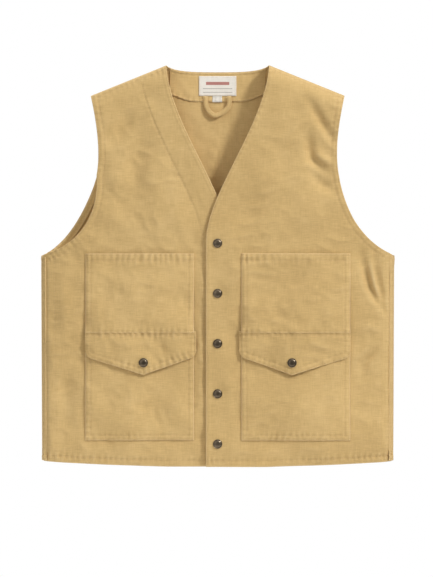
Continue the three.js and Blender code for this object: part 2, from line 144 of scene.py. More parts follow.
def front_edge():
    """The straight front edge and the V neck, from the hem up to the neck point."""
    neck = bezier([
        (-LAP, NECK_BREAK), (-LAP, NECK_BREAK + 0.075),
        (NECK[0] - 0.0054, NECK[1] - 0.096), NECK,
    ])
    straight = np.column_stack([np.full(30, -LAP), np.linspace(0, NECK_BREAK, 30)])
    return np.vstack([straight[:-1], neck])


def armhole(fullness):
    """From the underarm up to the shoulder tip."""
    x, h = ARM_MIDDLE
    lower = bezier([
        UNDERARM, (UNDERARM[0] - 0.0587 + fullness, UNDERARM[1] + 0.020 + 0.3 * fullness),
        (x + 0.005 + fullness, h - 0.051 + fullness), (x, h),
    ])
    upper = bezier([(x, h), (x - 0.008, h + 0.039), (SHOULDER[0] - 0.009, SHOULDER[1] - 0.035), SHOULDER])
    return np.vstack([lower, upper[1:]])


def side_x(h):
    """The side of the vest, carried on straight above the underarm."""
    share = (h - HEM_CORNER[1]) / (UNDERARM[1] - HEM_CORNER[1])
    return HEM_CORNER[0] + share * (UNDERARM[0] - HEM_CORNER[0])


def shoulder_height(x):
    slope = (SHOULDER[1] - NECK[1]) / (SHOULDER[0] - NECK[0])
    return NECK[1] + slope * (x - NECK[0])


def hem_rise(x):
    """How much higher the hem is than at the centre."""
    share = np.clip((np.abs(x) - HEM_FLAT) / (HEM_CORNER[0] - HEM_FLAT), 0, 1.05)
    return HEM_CORNER[1] * (0.45 * share + 0.55 * share**2)


def at_height(line, h):
    """Where an outline that only climbs passes a height."""
    return np.interp(h, line[:, 1], line[:, 0])


def beside(line, amount):
    """A line moved sideways, to the right of the way that it runs."""
    run = np.gradient(line, axis=0)
    run /= np.linalg.norm(run, axis=1)[:, None]
    return line + amount * np.column_stack([run[:, 1], -run[:, 0]])


def resampled(line, pitch):
    """Points at an even pitch along a line."""
    line = np.array(line, float)
    gone = np.concatenate([[0], np.cumsum(np.linalg.norm(np.diff(line, axis=0), axis=1))])
    count = max(2, int(gone[-1] / pitch))
    spots = np.linspace(0, gone[-1], count + 1)
    return np.column_stack([np.interp(spots, gone, line[:, i]) for i in (0, 1)])


def steps_between(low, high, edge_low=0.012, edge_high=0.012, middle=MESH_STEP):
    """Places from low to high, closer together within the two edges."""
    fine_low = np.arange(low, low + edge_low, EDGE_STEP)
    fine_high = np.arange(high, high - edge_high, -EDGE_STEP)[::-1]
    start, end = low + edge_low, high - edge_high
    coarse = np.linspace(start, end, max(2, int((end - start) / middle)))
    return np.unique(np.round(np.concatenate([fine_low, coarse, fine_high]), 6))


# ------------------------------------------------------------------ the lie of the cloth
def smooth(share):
    share = np.clip(share, 0, 1)
    return share * share * (3 - 2 * share)


def rise(distance, run):
    """0 at a seam and 1 from run inwards, round like a quarter of an ellipse."""
    share = np.clip(distance / run, 0, 1)
    return np.sqrt(1 - (1 - share) ** 2)


def nearest(line, s, h):
    """Each point's distance from a line, and how far along the line its nearest spot is."""
    best = np.full(s.shape, 1.0)
    along = np.zeros(s.shape)
    gone = 0.0
    for (x0, h0), (x1, h1) in zip(line[:-1], line[1:]):
        length = math.hypot(x1 - x0, h1 - h0)
        share = np.clip(((s - x0) * (x1 - x0) + (h - h0) * (h1 - h0)) / length**2, 0, 1)
        away = np.hypot(s - x0 - share * (x1 - x0), h - h0 - share * (h1 - h0))
        closer = away < best
        best = np.where(closer, away, best)
        along = np.where(closer, gone + share * length, along)
        gone += length
    return best, along


def undulation(s, h, seed, wavelength, height):
    """Soft waves in every direction."""
    rng = np.random.default_rng(seed)
    total = np.zeros(s.shape)
    for _ in range(16):
        angle = rng.uniform(0, math.tau)
        wave = math.tau / (wavelength * rng.uniform(0.65, 1.7))
        along = s * math.cos(angle) + h * math.sin(angle)
        total += np.sin(wave * along + rng.uniform(0, math.tau))
    return height * total / 2.8


def crumple(s, h, seed, wavelength, height):
    """Fine soft creases, as washed canvas keeps."""
    bend = undulation(s, h, seed + 1, wavelength * 2.6, wavelength * 0.10)
    wave = undulation(s + bend, h - bend, seed, wavelength, 1.0)
    return height * (0.6 - np.sqrt(wave * wave + 0.02))


def fold(s, h, line, width, height):
    """One crease along a line, wider where it starts, and deepest in its middle."""
    away, along = nearest(line, s, h)
    length = sum(math.dist(a, b) for a, b in zip(line[:-1], line[1:]))
    fade = smooth(along / (0.45 * length)) * smooth((length - along) / (0.45 * length))
    spread = width * (1.3 - 0.5 * along / length)
    return height * fade * np.exp(-((away / spread) ** 2))


def seam_relief(rows, s, h, seed):
    """The cloth sinks along each row of stitching, and puckers beside it, most where the row runs level."""
    total = np.zeros(s.shape)
    for index, row in enumerate(rows):
        away, along = nearest(row, s, h)
        run = np.diff(np.array(row, float), axis=0)
        length = np.hypot(run[:, 0], run[:, 1])
        gone = np.cumsum(length) - length / 2
        levelness = np.interp(along, gone, np.abs(run[:, 0]) / length)
        drift = 1.3 * np.sin(along / 0.023 + seed + index) + 1.1 * np.sin(along / 0.0097 + 2 * seed)
        strength = (0.65 + 0.35 * np.sin(along / 0.051 + seed)) * (0.45 + 1.15 * levelness)
        pucker = np.sin(math.tau * along / 0.0098 + drift) * strength
        total += 0.00056 * pucker * np.exp(-((away / 0.0058) ** 2))
        total -= 0.00042 * np.exp(-((away / 0.0014) ** 2))
    return total


def turned_edge(line, s, h, width=0.0085):
    """The cloth is double along a turned-in edge, and its rim is rounded off."""
    away, _ = nearest(line, s, h)
    return 0.00035 * smooth((width - away) / 0.003) - 0.0006 * smooth((0.0011 - away) / 0.0011)


FRONT_EDGE = front_edge()
SNAP_SPOTS = [
    (0.0, (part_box(f"front_snap_cap_{i}")[0].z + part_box(f"front_snap_cap_{i}")[1].z) / 2 - HEM_Z)
    for i in range(1, 6)
]
flap_cap_low, flap_cap_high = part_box("left_flap_cap")
FLAP_SNAP = ((flap_cap_low.x + flap_cap_high.x) / 2, (flap_cap_low.z + flap_cap_high.z) / 2 - HEM_Z)

# Each fold: its points, its half width, and its height (below 0 is a valley).
FOLDS = {
    "left": [
        ([(0.126, 0.622), (0.151, 0.589), (0.165, 0.563), (0.196, 0.512)], 0.0075, -0.0068),
        ([(0.140, 0.560), (0.152, 0.500), (0.171, 0.481), (0.198, 0.471)], 0.0080, -0.0066),
        ([(0.150, 0.520), (0.166, 0.498), (0.196, 0.486)], 0.0080, 0.0042),
        ([(0.140, 0.492), (0.163, 0.461), (0.200, 0.438)], 0.0090, -0.0048),
        ([(0.168, 0.600), (0.192, 0.562)], 0.0060, -0.0019),
        ([(0.112, 0.560), (0.100, 0.430)], 0.0200, -0.0026),
        ([(0.180, 0.420), (0.120, 0.372)], 0.0160, 0.0022),
        ([(0.228, 0.366), (0.234, 0.336), (0.246, 0.290), (0.276, 0.236)], 0.0065, -0.0078),
        ([(0.252, 0.362), (0.256, 0.318), (0.268, 0.262), (0.279, 0.226)], 0.0055, -0.0058),
        ([(0.242, 0.346), (0.254, 0.292), (0.276, 0.246)], 0.0060, 0.0040),
        ([(0.230, 0.130), (0.236, 0.170), (0.268, 0.204)], 0.0080, -0.0052),
        ([(0.222, 0.212), (0.244, 0.226), (0.272, 0.216)], 0.0080, 0.0036),
        ([(0.250, 0.150), (0.236, 0.060)], 0.0120, 0.0022),
        ([(0.026, 0.200), (0.031, 0.060)], 0.0080, -0.0013),
    ],
    "right": [
        ([(0.142, 0.590), (0.151, 0.556), (0.178, 0.506)], 0.0115, -0.0052),
        ([(0.120, 0.560), (0.132, 0.500), (0.134, 0.420)], 0.0170, -0.0060),
        ([(0.100, 0.500), (0.078, 0.420)], 0.0120, -0.0022),
        ([(0.156, 0.480), (0.176, 0.440)], 0.0100, 0.0022),
        ([(0.196, 0.420), (0.120, 0.372)], 0.0130, 0.0026),
        ([(0.108, 0.610), (0.112, 0.560)], 0.0100, 0.0019),
        ([(0.224, 0.372), (0.232, 0.230)], 0.0110, -0.0022),
        ([(0.252, 0.330), (0.246, 0.170)], 0.0090, 0.0022),
        ([(0.070, 0.430), (0.044, 0.340)], 0.0110, 0.0019),
        ([(0.236, 0.180), (0.252, 0.050)], 0.0110, -0.0021),
        ([(0.052, 0.310), (0.045, 0.215)], 0.0130, -0.0036),
        ([(0.052, 0.180), (0.046, 0.055)], 0.0140, -0.0034),
        ([(0.025, 0.320), (0.029, 0.060)], 0.0060, 0.0022),
        ([(0.060, 0.032), (0.170, 0.026)], 0.0090, -0.0013),
    ],
    "back": [
        ([(-0.170, 0.560), (-0.090, 0.430)], 0.018, 0.0036),
        ([(0.180, 0.540), (0.080, 0.410)], 0.018, 0.0034),
        ([(-0.196, 0.470), (-0.110, 0.380)], 0.012, -0.0032),
        ([(0.200, 0.450), (0.130, 0.360)], 0.012, -0.0030),
        ([(0.030, 0.600), (0.016, 0.430)], 0.020, 0.0026),
        ([(-0.050, 0.560), (-0.040, 0.400)], 0.016, -0.0026),
        ([(-0.250, 0.350), (-0.262, 0.220)], 0.010, 0.0014),
        ([(0.254, 0.350), (0.262, 0.210)], 0.010, 0.0014),
    ],
}


def calm(spots, s, h, reach=0.015):
    """0 at each snap and 1 away from them: the cloth lies flat under the metal."""
    still = np.ones(s.shape)
    for x, height in spots:
        still *= 1 - np.exp(-((np.hypot(s - x, h - height) / reach) ** 4))
    return still


def half_depth(side):
    """The middle plane between a front and the back, and each one's distance from it."""
    return (FRONT_Y[side] + BACK_Y) / 2, (BACK_Y - FRONT_Y[side]) / 2


def front_base(side, s, h):
    """Where a front's outer face lies, without its seams. The pockets follow this too."""
    middle, half = half_depth(side)
    from_side = side_x(h) - s
    from_shoulder = shoulder_height(s) - h
    y = middle - half * rise(from_shoulder, SHOULDER_ROUND) * rise(from_side, SIDE_ROUND)
    edge = s - at_height(FRONT_EDGE, h)
    quiet = smooth(edge / 0.055) * smooth(from_shoulder / 0.07) * smooth((from_side - 0.002) / 0.018)
    seed = 11 if side == "left" else 47
    relief = undulation(s, h, seed, 0.17, 0.0017) + undulation(s, h, seed + 5, 0.075, 0.0010)
    relief += crumple(s, h, seed + 9, 0.040, 0.00060)
    for line, width, height in FOLDS[side]:
        relief += fold(s, h, line, width, height)
    ripple = 0.0007 * np.sin(h / 0.013 + 1.3 * np.sin(h / 0.041)) * smooth((0.055 - h) / 0.05)
    ripple *= smooth((0.012 - edge) / 0.012)
    under = 0.0055 * smooth((0.034 - h) / 0.040)
    return y + under - (relief * quiet + ripple) * calm([*SNAP_SPOTS, FLAP_SNAP], s, h)


def front_lay(side, rows, edges, inside=0.0):
    """A front, or a layer that lies inside it."""
    def lay(s, h):
        at_seam = 1 - smooth((side_x(h) - s - SEAM_INSET) / 0.005)
        under_seam = 0.0013 * at_seam * (h < UNDERARM[1] + 0.004)
        y = front_base(side, s, h) + inside + under_seam
        if not inside:
            ridge = 0.0005 if side == "right" else 0.0002
            y -= ridge * smooth((FACING_WIDTH + 0.001 - (s - at_height(FRONT_EDGE, h))) / 0.0025)
        y -= seam_relief(rows, s, h, 3) * calm(SNAP_SPOTS, s, h, 0.009)
        for line in edges:
            y -= turned_edge(line, s, h)
        return s, y
    return lay


QUARTER = float(np.sum(np.hypot(
    np.diff(SIDE_ROUND * np.cos(np.linspace(0, math.pi / 2, 60))),
    np.diff(half_depth("left")[1] * np.sin(np.linspace(0, math.pi / 2, 60))))))
WRAP = QUARTER * math.acos(1 - SEAM_INSET / SIDE_ROUND) / (math.pi / 2)


def back_pattern(x, h):
    """The pattern place s of a point at x on the back's outline: the cloth runs on round the side."""
    start = side_x(h) - SIDE_ROUND
    turn = np.arccos(np.clip(1 - (side_x(h) - x) / SIDE_ROUND, -1, 1))
    return np.where(x < start, x, start + (1 - turn / (math.pi / 2)) * QUARTER)


def back_base(s, h):
    """Where the back lies, with its waves but not its seams: x, y, the turn round the side, and |x|."""
    across = np.abs(s)
    start = side_x(h) - SIDE_ROUND
    turn = (math.pi / 2) * (1 - np.clip((across - start) / QUARTER, 0, 2))
    x = np.where(across < start, across, side_x(h) - SIDE_ROUND * (1 - np.cos(turn)))
    left = s > 0
    middle = np.where(left, half_depth("left")[0], half_depth("right")[0])
    half = np.where(left, half_depth("left")[1], half_depth("right")[1])
    over = rise(shoulder_height(x) - h, SHOULDER_ROUND)
    y = middle + half * over * np.sin(turn)
    quiet = smooth((shoulder_height(x) - h) / 0.06) * smooth((side_x(h) - x - 0.004) / 0.03)
    quiet = quiet * smooth((BACK_NECK - h) / 0.05 + 0.2) * (turn > 0)
    relief = undulation(s, h, 81, 0.19, 0.0011) + crumple(s, h, 92, 0.038, 0.0004)
    for line, width, height in FOLDS["back"]:
        relief = relief + fold(s, h, line, width, height)
    return np.sign(s) * x, y + relief * quiet, turn, x


def back_lay(rows, edges, inside=0.0):
    def lay(s, h):
        x, y, turn, _ = back_base(s, h)
        lift = seam_relief(rows, s, h, 8) - inside
        for line in edges:
            lift = lift + turned_edge(line, s, h)
        return x + np.sign(s) * lift * np.cos(turn), y + lift * np.sin(turn)
    return lay


# ------------------------------------------------------------------ cloth and stitches
def placed(lay, side, s, h):
    x, y = lay(s, h)
    return np.column_stack([SIGN.get(side, 1) * x, y, HEM_Z + h])


def cloth(name, grid, lay, side, outwards, thickness=PLY, slots=("canvas", "canvas_inside")):
    """A sheet of cloth over a grid of pattern points. outwards is -1 where its outer face looks forward."""
    rows, columns = grid.shape[:2]
    s, h = grid[..., 0].ravel(), grid[..., 1].ravel()
    points = placed(lay, side, s, h)
    index = np.arange(rows * columns).reshape(rows, columns)
    quads = np.stack([index[:-1, :-1], index[:-1, 1:], index[1:, 1:], index[1:, :-1]], axis=-1).reshape(-1, 4)
    if (outwards > 0) != (side == "right"):
        quads = quads[:, ::-1]
    mesh = bpy.data.meshes.new(f"{name}_cloth")
    mesh.from_pydata(points.tolist(), [], quads.tolist())
    uv = mesh.uv_layers.new(name="UVMap")
    corner = np.zeros(len(mesh.loops), np.int32)
    mesh.loops.foreach_get("vertex_index", corner)
    uv.data.foreach_set("uv", np.column_stack([s + 0.4, h + 0.1])[corner].astype(np.float32).ravel())
    for slot in slots:
        mesh.materials.append(MATERIALS[slot])
    mesh.polygons.foreach_set("use_smooth", np.ones(len(quads), bool))
    piece = bpy.data.objects.new(f"{name}_cloth", mesh)
    bpy.context.collection.objects.link(piece)
    thicken = piece.modifiers.new("thickness", "SOLIDIFY")
    thicken.thickness = thickness
    thicken.offset = -1
    thicken.material_offset = 1
    thicken.material_offset_rim = 0
    apply_modifiers(piece)
    return piece


def apply_modifiers(piece):
    bpy.ops.object.select_all(action="DESELECT")
    bpy.context.view_layer.objects.active = piece
    piece.select_set(True)
    for modifier in list(piece.modifiers):
        bpy.ops.object.modifier_apply(modifier=modifier.name)
    piece.select_set(False)


def stitching(name, rows, lay, side, outwards, pitch, radius):
    """Every stitch of some rows as a short thread that dips into the cloth at both ends."""
    spots, ends = [], []
    for row in rows:
        even = resampled(row, pitch)
        spots.append(even[:-1])
        ends.append(even[:-1] + 0.74 * np.diff(even, axis=0))
    spots, ends = np.vstack(spots), np.vstack(ends)
    middle = (spots + ends) / 2
    a, b, c = (placed(lay, side, p[:, 0], p[:, 1]) for p in (spots, ends, middle))
    nudge = 0.0005
    over = placed(lay, side, middle[:, 0] + nudge, middle[:, 1]) - c
    up = placed(lay, side, middle[:, 0], middle[:, 1] + nudge) - c
    normal = np.cross(over, up)
    normal /= np.linalg.norm(normal, axis=1)[:, None]
    normal *= -outwards * SIGN.get(side, 1)
    run = b - a
    run /= np.linalg.norm(run, axis=1)[:, None]
    aside = np.cross(run, normal)
    shares = (0.0, 0.16, 0.5, 0.84, 1.0)
    lifts = (-0.9, 0.35, 0.75, 0.35, -0.9)
    widths = (0.55, 0.95, 1.0, 0.95, 0.55)
    sides = 5
    rings = []
    for share, lift, width in zip(shares, lifts, widths):
        core = a + share * (b - a) + normal * (lift * radius)
        for i in range(sides):
            turn = math.tau * i / sides
            spoke = math.cos(turn) * aside + math.sin(turn) * normal
            rings.append(core + spoke * (radius * width))
    vertices = np.stack(rings, axis=1)
    faces = []
    for ring in range(len(shares) - 1):
        for i in range(sides):
            j = (i + 1) % sides
            faces.append((ring * sides + i, ring * sides + j, (ring + 1) * sides + j, (ring + 1) * sides + i))
    last = (len(shares) - 1) * sides
    caps = [tuple(range(sides))[::-1], tuple(range(last, last + sides))]
    per = vertices.shape[1]
    every = [tuple(v + k * per for v in face) for k in range(len(spots)) for face in faces + caps]
    mesh = bpy.data.meshes.new(name)
    mesh.from_pydata(vertices.reshape(-1, 3).tolist(), [], every)
    mesh.materials.append(MATERIALS["thread"])
    mesh.polygons.foreach_set("use_smooth", np.ones(len(every), bool))
    piece = bpy.data.objects.new(name, mesh)
    bpy.context.collection.objects.link(piece)
    recalculate(piece)
    return piece


def recalculate(piece):
    shape = bmesh.new()
    shape.from_mesh(piece.data)
    bmesh.ops.recalc_face_normals(shape, faces=shape.faces)
    shape.to_mesh(piece.data)
    shape.free()


# ------------------------------------------------------------------ materials
def node_group(name, inputs, outputs):
    tree = bpy.data.node_groups.new(name, "ShaderNodeTree")
    for label, default in inputs:
        socket = tree.interface.new_socket(label, in_out="INPUT", socket_type="NodeSocketFloat")
        socket.default_value = default
    for label in outputs:
        tree.interface.new_socket(label, in_out="OUTPUT", socket_type="NodeSocketFloat")
    return tree, tree.nodes.new("NodeGroupInput"), tree.nodes.new("NodeGroupOutput")


def maths(tree, operation, first, second=None, clamp=False):
    node = tree.nodes.new("ShaderNodeMath")
    node.operation = operation
    node.use_clamp = clamp
    for socket, value in zip(node.inputs, (first, second)):
        if hasattr(value, "node"):
            tree.links.new(value, socket)
        elif value is not None:
            socket.default_value = value
    return node.outputs[0]


def noise(tree, vector, scale, detail=2.0, roughness=0.5):
    node = tree.nodes.new("ShaderNodeTexNoise")
    node.inputs["Scale"].default_value = scale
    node.inputs["Detail"].default_value = detail
    node.inputs["Roughness"].default_value = roughness
    tree.links.new(vector, node.inputs["Vector"])
    return node.outputs["Fac"]


def stretched(tree, vector, scale):
    node = tree.nodes.new("ShaderNodeMapping")
    node.inputs["Scale"].default_value = scale
    tree.links.new(vector, node.inputs["Vector"])
    return node.outputs["Vector"]


def weave_group():
    """Plain weave on the pattern's own UV map: threads a Pitch apart, with slubs, as a height and as tone."""
    tree, given, out = node_group("plain_weave", [("Pitch", 0.001), ("Slub", 0.5)], ["Height", "Tone"])
    uv = tree.nodes.new("ShaderNodeUVMap")
    uv.uv_map = "UVMap"
    split = tree.nodes.new("ShaderNodeSeparateXYZ")
    tree.links.new(uv.outputs["UV"], split.inputs[0])
    wave = []
    for axis in (0, 1):
        turns = maths(tree, "DIVIDE", split.outputs[axis], given.outputs["Pitch"])
        wave.append(maths(tree, "COSINE", maths(tree, "MULTIPLY", turns, math.pi)))
    over = maths(tree, "MULTIPLY", wave[0], wave[1])
    knuckle = maths(tree, "POWER", maths(tree, "ABSOLUTE", over), 0.6)
    across = noise(tree, stretched(tree, uv.outputs["UV"], (60, 900, 1)), 1.0, 3.0)
    upright = noise(tree, stretched(tree, uv.outputs["UV"], (800, 50, 1)), 1.0, 2.0)
    slub = maths(tree, "ADD", maths(tree, "MULTIPLY", across, 0.62), maths(tree, "MULTIPLY", upright, 0.38))
    lifted = maths(tree, "MULTIPLY", slub, given.outputs["Slub"])
    tree.links.new(maths(tree, "ADD", knuckle, lifted), out.inputs["Height"])
    tone = maths(tree, "ADD", maths(tree, "MULTIPLY", over, 0.16), slub)
    tree.links.new(tone, out.inputs["Tone"])
    return tree


def fading_group():
    """Slow change of tone over the cloth, from washing and handling, and fine flecks."""
    tree, given, out = node_group("washed_tone", [("Flecks", 0.3)], ["Wash", "Fleck"])
    place = tree.nodes.new("ShaderNodeTexCoord").outputs["Object"]
    slow = noise(tree, place, 5.0, 3.0)
    blot = noise(tree, place, 38.0, 4.0, 0.6)
    tree.links.new(maths(tree, "ADD", maths(tree, "MULTIPLY", slow, 0.6), maths(tree, "MULTIPLY", blot, 0.4)),
                   out.inputs["Wash"])
    fine = noise(tree, place, 900.0, 2.0, 0.7)
    tree.links.new(maths(tree, "MULTIPLY", fine, given.outputs["Flecks"]), out.inputs["Fleck"])
    return tree


def rim_and_crease_group():
    """Mask is 1 on the ridges and rims that rub first, and Hollow is 1 in the creases, where the canvas is
    darkened as painted shade and the brass as patina.
    """
    tree, given, out = node_group("rim_and_crease_masks", [("Amount", 1.0)], ["Mask", "Hollow"])
    point = tree.nodes.new("ShaderNodeNewGeometry").outputs["Pointiness"]
    ridge = maths(tree, "MULTIPLY", maths(tree, "SUBTRACT", point, 0.505), 14.0, clamp=True)
    tree.links.new(maths(tree, "MULTIPLY", ridge, given.outputs["Amount"]), out.inputs["Mask"])
    # crease mask: painted shade on the canvas, patina on the brass
    crease = maths(tree, "MULTIPLY", maths(tree, "SUBTRACT", 0.493, point), 12.0, clamp=True)
    tree.links.new(crease, out.inputs["Hollow"])
    return tree


def placed_group(material, tree, values):
    node = material.node_tree.nodes.new("ShaderNodeGroup")
    node.node_tree = tree
    for label, value in values.items():
        node.inputs[label].default_value = value
    return node


def ramp(material, factor, stops):
    node = material.node_tree.nodes.new("ShaderNodeValToRGB")
    for element, (position, colour) in zip(node.color_ramp.elements, (stops[0], stops[-1])):
        element.position = position
        element.color = (*colour, 1)
    for position, colour in stops[1:-1]:
        node.color_ramp.elements.new(position).color = (*colour, 1)
    material.node_tree.links.new(factor, node.inputs["Fac"])
    return node.outputs["Color"]


def mixed(material, factor, first, second):
    node = material.node_tree.nodes.new("ShaderNodeMix")
    node.data_type = "RGBA"
    links = material.node_tree.links
    if hasattr(factor, "node"):
        links.new(factor, node.inputs["Factor"])
    else:
        node.inputs["Factor"].default_value = factor
    for socket, value in ((node.inputs[6], first), (node.inputs[7], second)):
        if hasattr(value, "node"):
            links.new(value, socket)
        else:
            socket.default_value = (*value, 1)
    return node.outputs[2]


def new_material(name, roughness, metallic=0.0):
    material = bpy.data.materials.new(name)
    material.use_nodes = True
    shader = material.node_tree.nodes["Principled BSDF"]
    shader.inputs["Roughness"].default_value = roughness
    shader.inputs["Metallic"].default_value = metallic
    return material, shader


def bump(material, shader, height, strength, distance):
    node = material.node_tree.nodes.new("ShaderNodeBump")
    node.inputs["Strength"].default_value = strength
    node.inputs["Distance"].default_value = distance
    material.node_tree.links.new(height, node.inputs["Height"])
    material.node_tree.links.new(node.outputs["Normal"], shader.inputs["Normal"])


def canvas(name, dark, middle, light, worn, pitch=0.0011, strength=0.35):
    """Washed cotton canvas: a weave, slubs, slow fading, paler rims, and painted shade that darkens its
    creases.
    """
    material, shader = new_material(name, 0.93)
    shader.inputs["Sheen Weight"].default_value = 0.12
    shader.inputs["Sheen Roughness"].default_value = 0.6
    shader.inputs["Specular IOR Level"].default_value = 0.22
    tree = material.node_tree
    weave = placed_group(material, WEAVE, {"Pitch": pitch, "Slub": 0.55})
    wash = placed_group(material, FADING, {"Flecks": 0.5})
    rims_and_creases = placed_group(material, RIMS_AND_CREASES, {"Amount": 0.55})
    tone = maths(tree, "ADD", maths(tree, "MULTIPLY", weave.outputs["Tone"], 0.55),
                 maths(tree, "MULTIPLY", wash.outputs["Wash"], 0.45))
    base = ramp(material, tone, [(0.36, dark), (0.50, middle), (0.63, light)])
    colour = mixed(material, rims_and_creases.outputs["Mask"], base, worn)
    # painted shade: creases, seams and fold bottoms are darkened in colour to stand in for the shade that
    # falls in them
    crease = maths(tree, "MULTIPLY", rims_and_creases.outputs["Hollow"], 0.6)
    colour = mixed(material, crease, colour, tuple(0.55 * share for share in dark))
    tree.links.new(colour, shader.inputs["Base Color"])
    rough = maths(tree, "ADD", maths(tree, "MULTIPLY", wash.outputs["Fleck"], 0.12), 0.86)
    tree.links.new(rough, shader.inputs["Roughness"])
    bump(material, shader, weave.outputs["Height"], strength, 0.00022)
    return material


def thread_material():
    material, shader = new_material("thread", 0.6)
    wash = placed_group(material, FADING, {"Flecks": 0.6})
    colour = ramp(material, wash.outputs["Wash"], [(0.35, (0.55, 0.37, 0.165)), (0.65, (0.72, 0.51, 0.25))])
    material.node_tree.links.new(colour, shader.inputs["Base Color"])
    bump(material, shader, wash.outputs["Fleck"], 0.3, 0.0001)
    return material


def label_material(name, ground, stripes):
    """Smooth woven label. A stripe is its low and high edge in the UV map, half its length and its colour."""
    material, shader = new_material(name, 0.62)
    tree = material.node_tree
    weave = placed_group(material, WEAVE, {"Pitch": 0.00045, "Slub": 0.3})
    colour = ramp(material, weave.outputs["Tone"], [(0.3, tuple(0.88 * c for c in ground)), (0.7, ground)])
    uv = tree.nodes.new("ShaderNodeUVMap")
    uv.uv_map = "UVMap"
    split = tree.nodes.new("ShaderNodeSeparateXYZ")
    tree.links.new(uv.outputs["UV"], split.inputs[0])
    for low, high, half, stripe in stripes:
        above = maths(tree, "GREATER_THAN", split.outputs[1], low)
        below = maths(tree, "LESS_THAN", split.outputs[1], high)
        from_centre = maths(tree, "ABSOLUTE", maths(tree, "SUBTRACT", split.outputs[0], 0.4))
        inside = maths(tree, "LESS_THAN", from_centre, half)
        mask = maths(tree, "MULTIPLY", maths(tree, "MULTIPLY", above, below), inside)
        colour = mixed(material, maths(tree, "MULTIPLY", mask, 0.85), colour, stripe)
    tree.links.new(colour, shader.inputs["Base Color"])
    bump(material, shader, weave.outputs["Height"], 0.25, 0.0001)
    return material


def metal(name, deep, body, rubbed, roughness):
    """Antiqued brass: dark in the hollows, rubbed bright on the rims, with fine pitting."""
    material, shader = new_material(name, roughness, 1.0)
    tree = material.node_tree
    wash = placed_group(material, FADING, {"Flecks": 1.0})
    rims_and_creases = placed_group(material, RIMS_AND_CREASES, {"Amount": 0.7})
    colour = ramp(material, wash.outputs["Wash"], [(0.38, deep), (0.58, body)])
    colour = mixed(material, rims_and_creases.outputs["Mask"], colour, rubbed)
    colour = mixed(material, rims_and_creases.outputs["Hollow"], colour, (0.03, 0.022, 0.015))
    tree.links.new(colour, shader.inputs["Base Color"])
    rough = maths(tree, "ADD", maths(tree, "MULTIPLY", wash.outputs["Fleck"], 0.2), roughness - 0.1)
    tree.links.new(rough, shader.inputs["Roughness"])
    bump(material, shader, wash.outputs["Fleck"], 0.15, 0.0001)
    return material


WEAVE, FADING, RIMS_AND_CREASES = weave_group(), fading_group(), rim_and_crease_group()
MATERIALS = {
    "canvas": canvas("canvas", (0.53, 0.352, 0.138), (0.64, 0.437, 0.180), (0.72, 0.508, 0.228),
                     (0.80, 0.60, 0.31)),
    "canvas_inside": canvas("canvas_inside", (0.57, 0.376, 0.147), (0.68, 0.465, 0.192), (0.76, 0.535, 0.238),
                            (0.82, 0.615, 0.32)),
    "thread": thread_material(),
    "label_weave": label_material("label_weave", (0.93, 0.88, 0.79), [
        (0.7205, 0.7255, 0.019, (0.42, 0.10, 0.075)),
        (0.7140, 0.7150, 0.024, (0.36, 0.33, 0.29)),
        (0.7080, 0.7090, 0.024, (0.36, 0.33, 0.29)),
    ]),
    "tag_weave": label_material("tag_weave", (0.84, 0.79, 0.70), []),
    "dark_brass": metal("dark_brass", (0.085, 0.066, 0.046), (0.22, 0.172, 0.118), (0.52, 0.43, 0.31), 0.34),
    "snap_metal": metal("snap_metal", (0.26, 0.20, 0.12), (0.44, 0.35, 0.22), (0.66, 0.55, 0.38), 0.42),
}

# ------------------------------------------------------------------ grids of pattern points
def with_count(line, count):
    """A line as that many points, evenly apart."""
    gone = np.concatenate([[0], np.cumsum(np.linalg.norm(np.diff(line, axis=0), axis=1))])
    spots = np.linspace(0, gone[-1], count)
    return np.column_stack([np.interp(spots, gone, line[:, i]) for i in (0, 1)])


def strip_grid(line, distances, count):
    """A strip beside a line, cut off at the shoulder and at the hem."""
    columns = []
    for distance in distances:
        column = beside(line, distance)
        below = column[:, 1] < shoulder_height(column[:, 0]) - 0.0008
        above = column[:, 1] > hem_rise(column[:, 0]) + 0.0008
        columns.append(with_count(column[below & above], count))
    return np.stack(columns, axis=1)


def block_grid(across, low, high, step, edge_low=0.012, edge_high=0.012):
    """Columns that run from a lower to an upper outline, each given as a height over across."""
    tall = float(np.max(high - low))
    share = steps_between(0, tall, edge_low, edge_high, step) / tall
    height = low[None, :] + share[:, None] * (high - low)[None, :]
    return np.dstack([np.broadcast_to(across, height.shape), height])


def rectangle(across, low, high, step=MESH_STEP, edge_low=0.012, edge_high=0.012):
    low, high = np.full(across.shape, low), np.full(across.shape, high)
    return block_grid(across, low, high, step, edge_low, edge_high)


def climb(high, pitch=MESH_STEP):
    """Heights from the hem to the shoulder: finer at the hem, at the underarm and over the shoulder."""
    under = UNDERARM[1]
    turn = np.linspace(math.pi / 2, 0, 22)
    over = high - SHOULDER_ROUND * (1 - np.cos(turn))
    return np.unique(np.round(np.concatenate([
        np.arange(0, 0.013, EDGE_STEP), np.arange(0.013, under - 0.008, pitch),
        np.arange(under - 0.008, under + 0.030, 0.0008), np.arange(under + 0.030, over[0], pitch), over,
    ]), 7))


def front_grid(side):
    arm = armhole(FULLNESS[side])
    height = climb(SHOULDER[1])
    seam = side_x(np.minimum(height, UNDERARM[1])) - 0.0035
    outer = np.where(height < UNDERARM[1], seam, np.minimum(at_height(arm, height), seam))
    share = height / SHOULDER[1]
    inner_height = share * LENGTH
    inner = at_height(FRONT_EDGE, inner_height)
    across = steps_between(0, 0.302, 0.014, 0.016) / 0.302
    s = inner[:, None] + across[None, :] * (outer - inner)[:, None]
    h = inner_height[:, None] + across[None, :] * (height - inner_height)[:, None]
    h = h + hem_rise(s) * ((1 - share) ** 6)[:, None]
    return np.dstack([s, h])


NECK_LINE = bezier([(0, BACK_NECK), (NECK[0] / 2, BACK_NECK), (NECK[0] - 0.0134, BACK_NECK + 0.001), NECK])


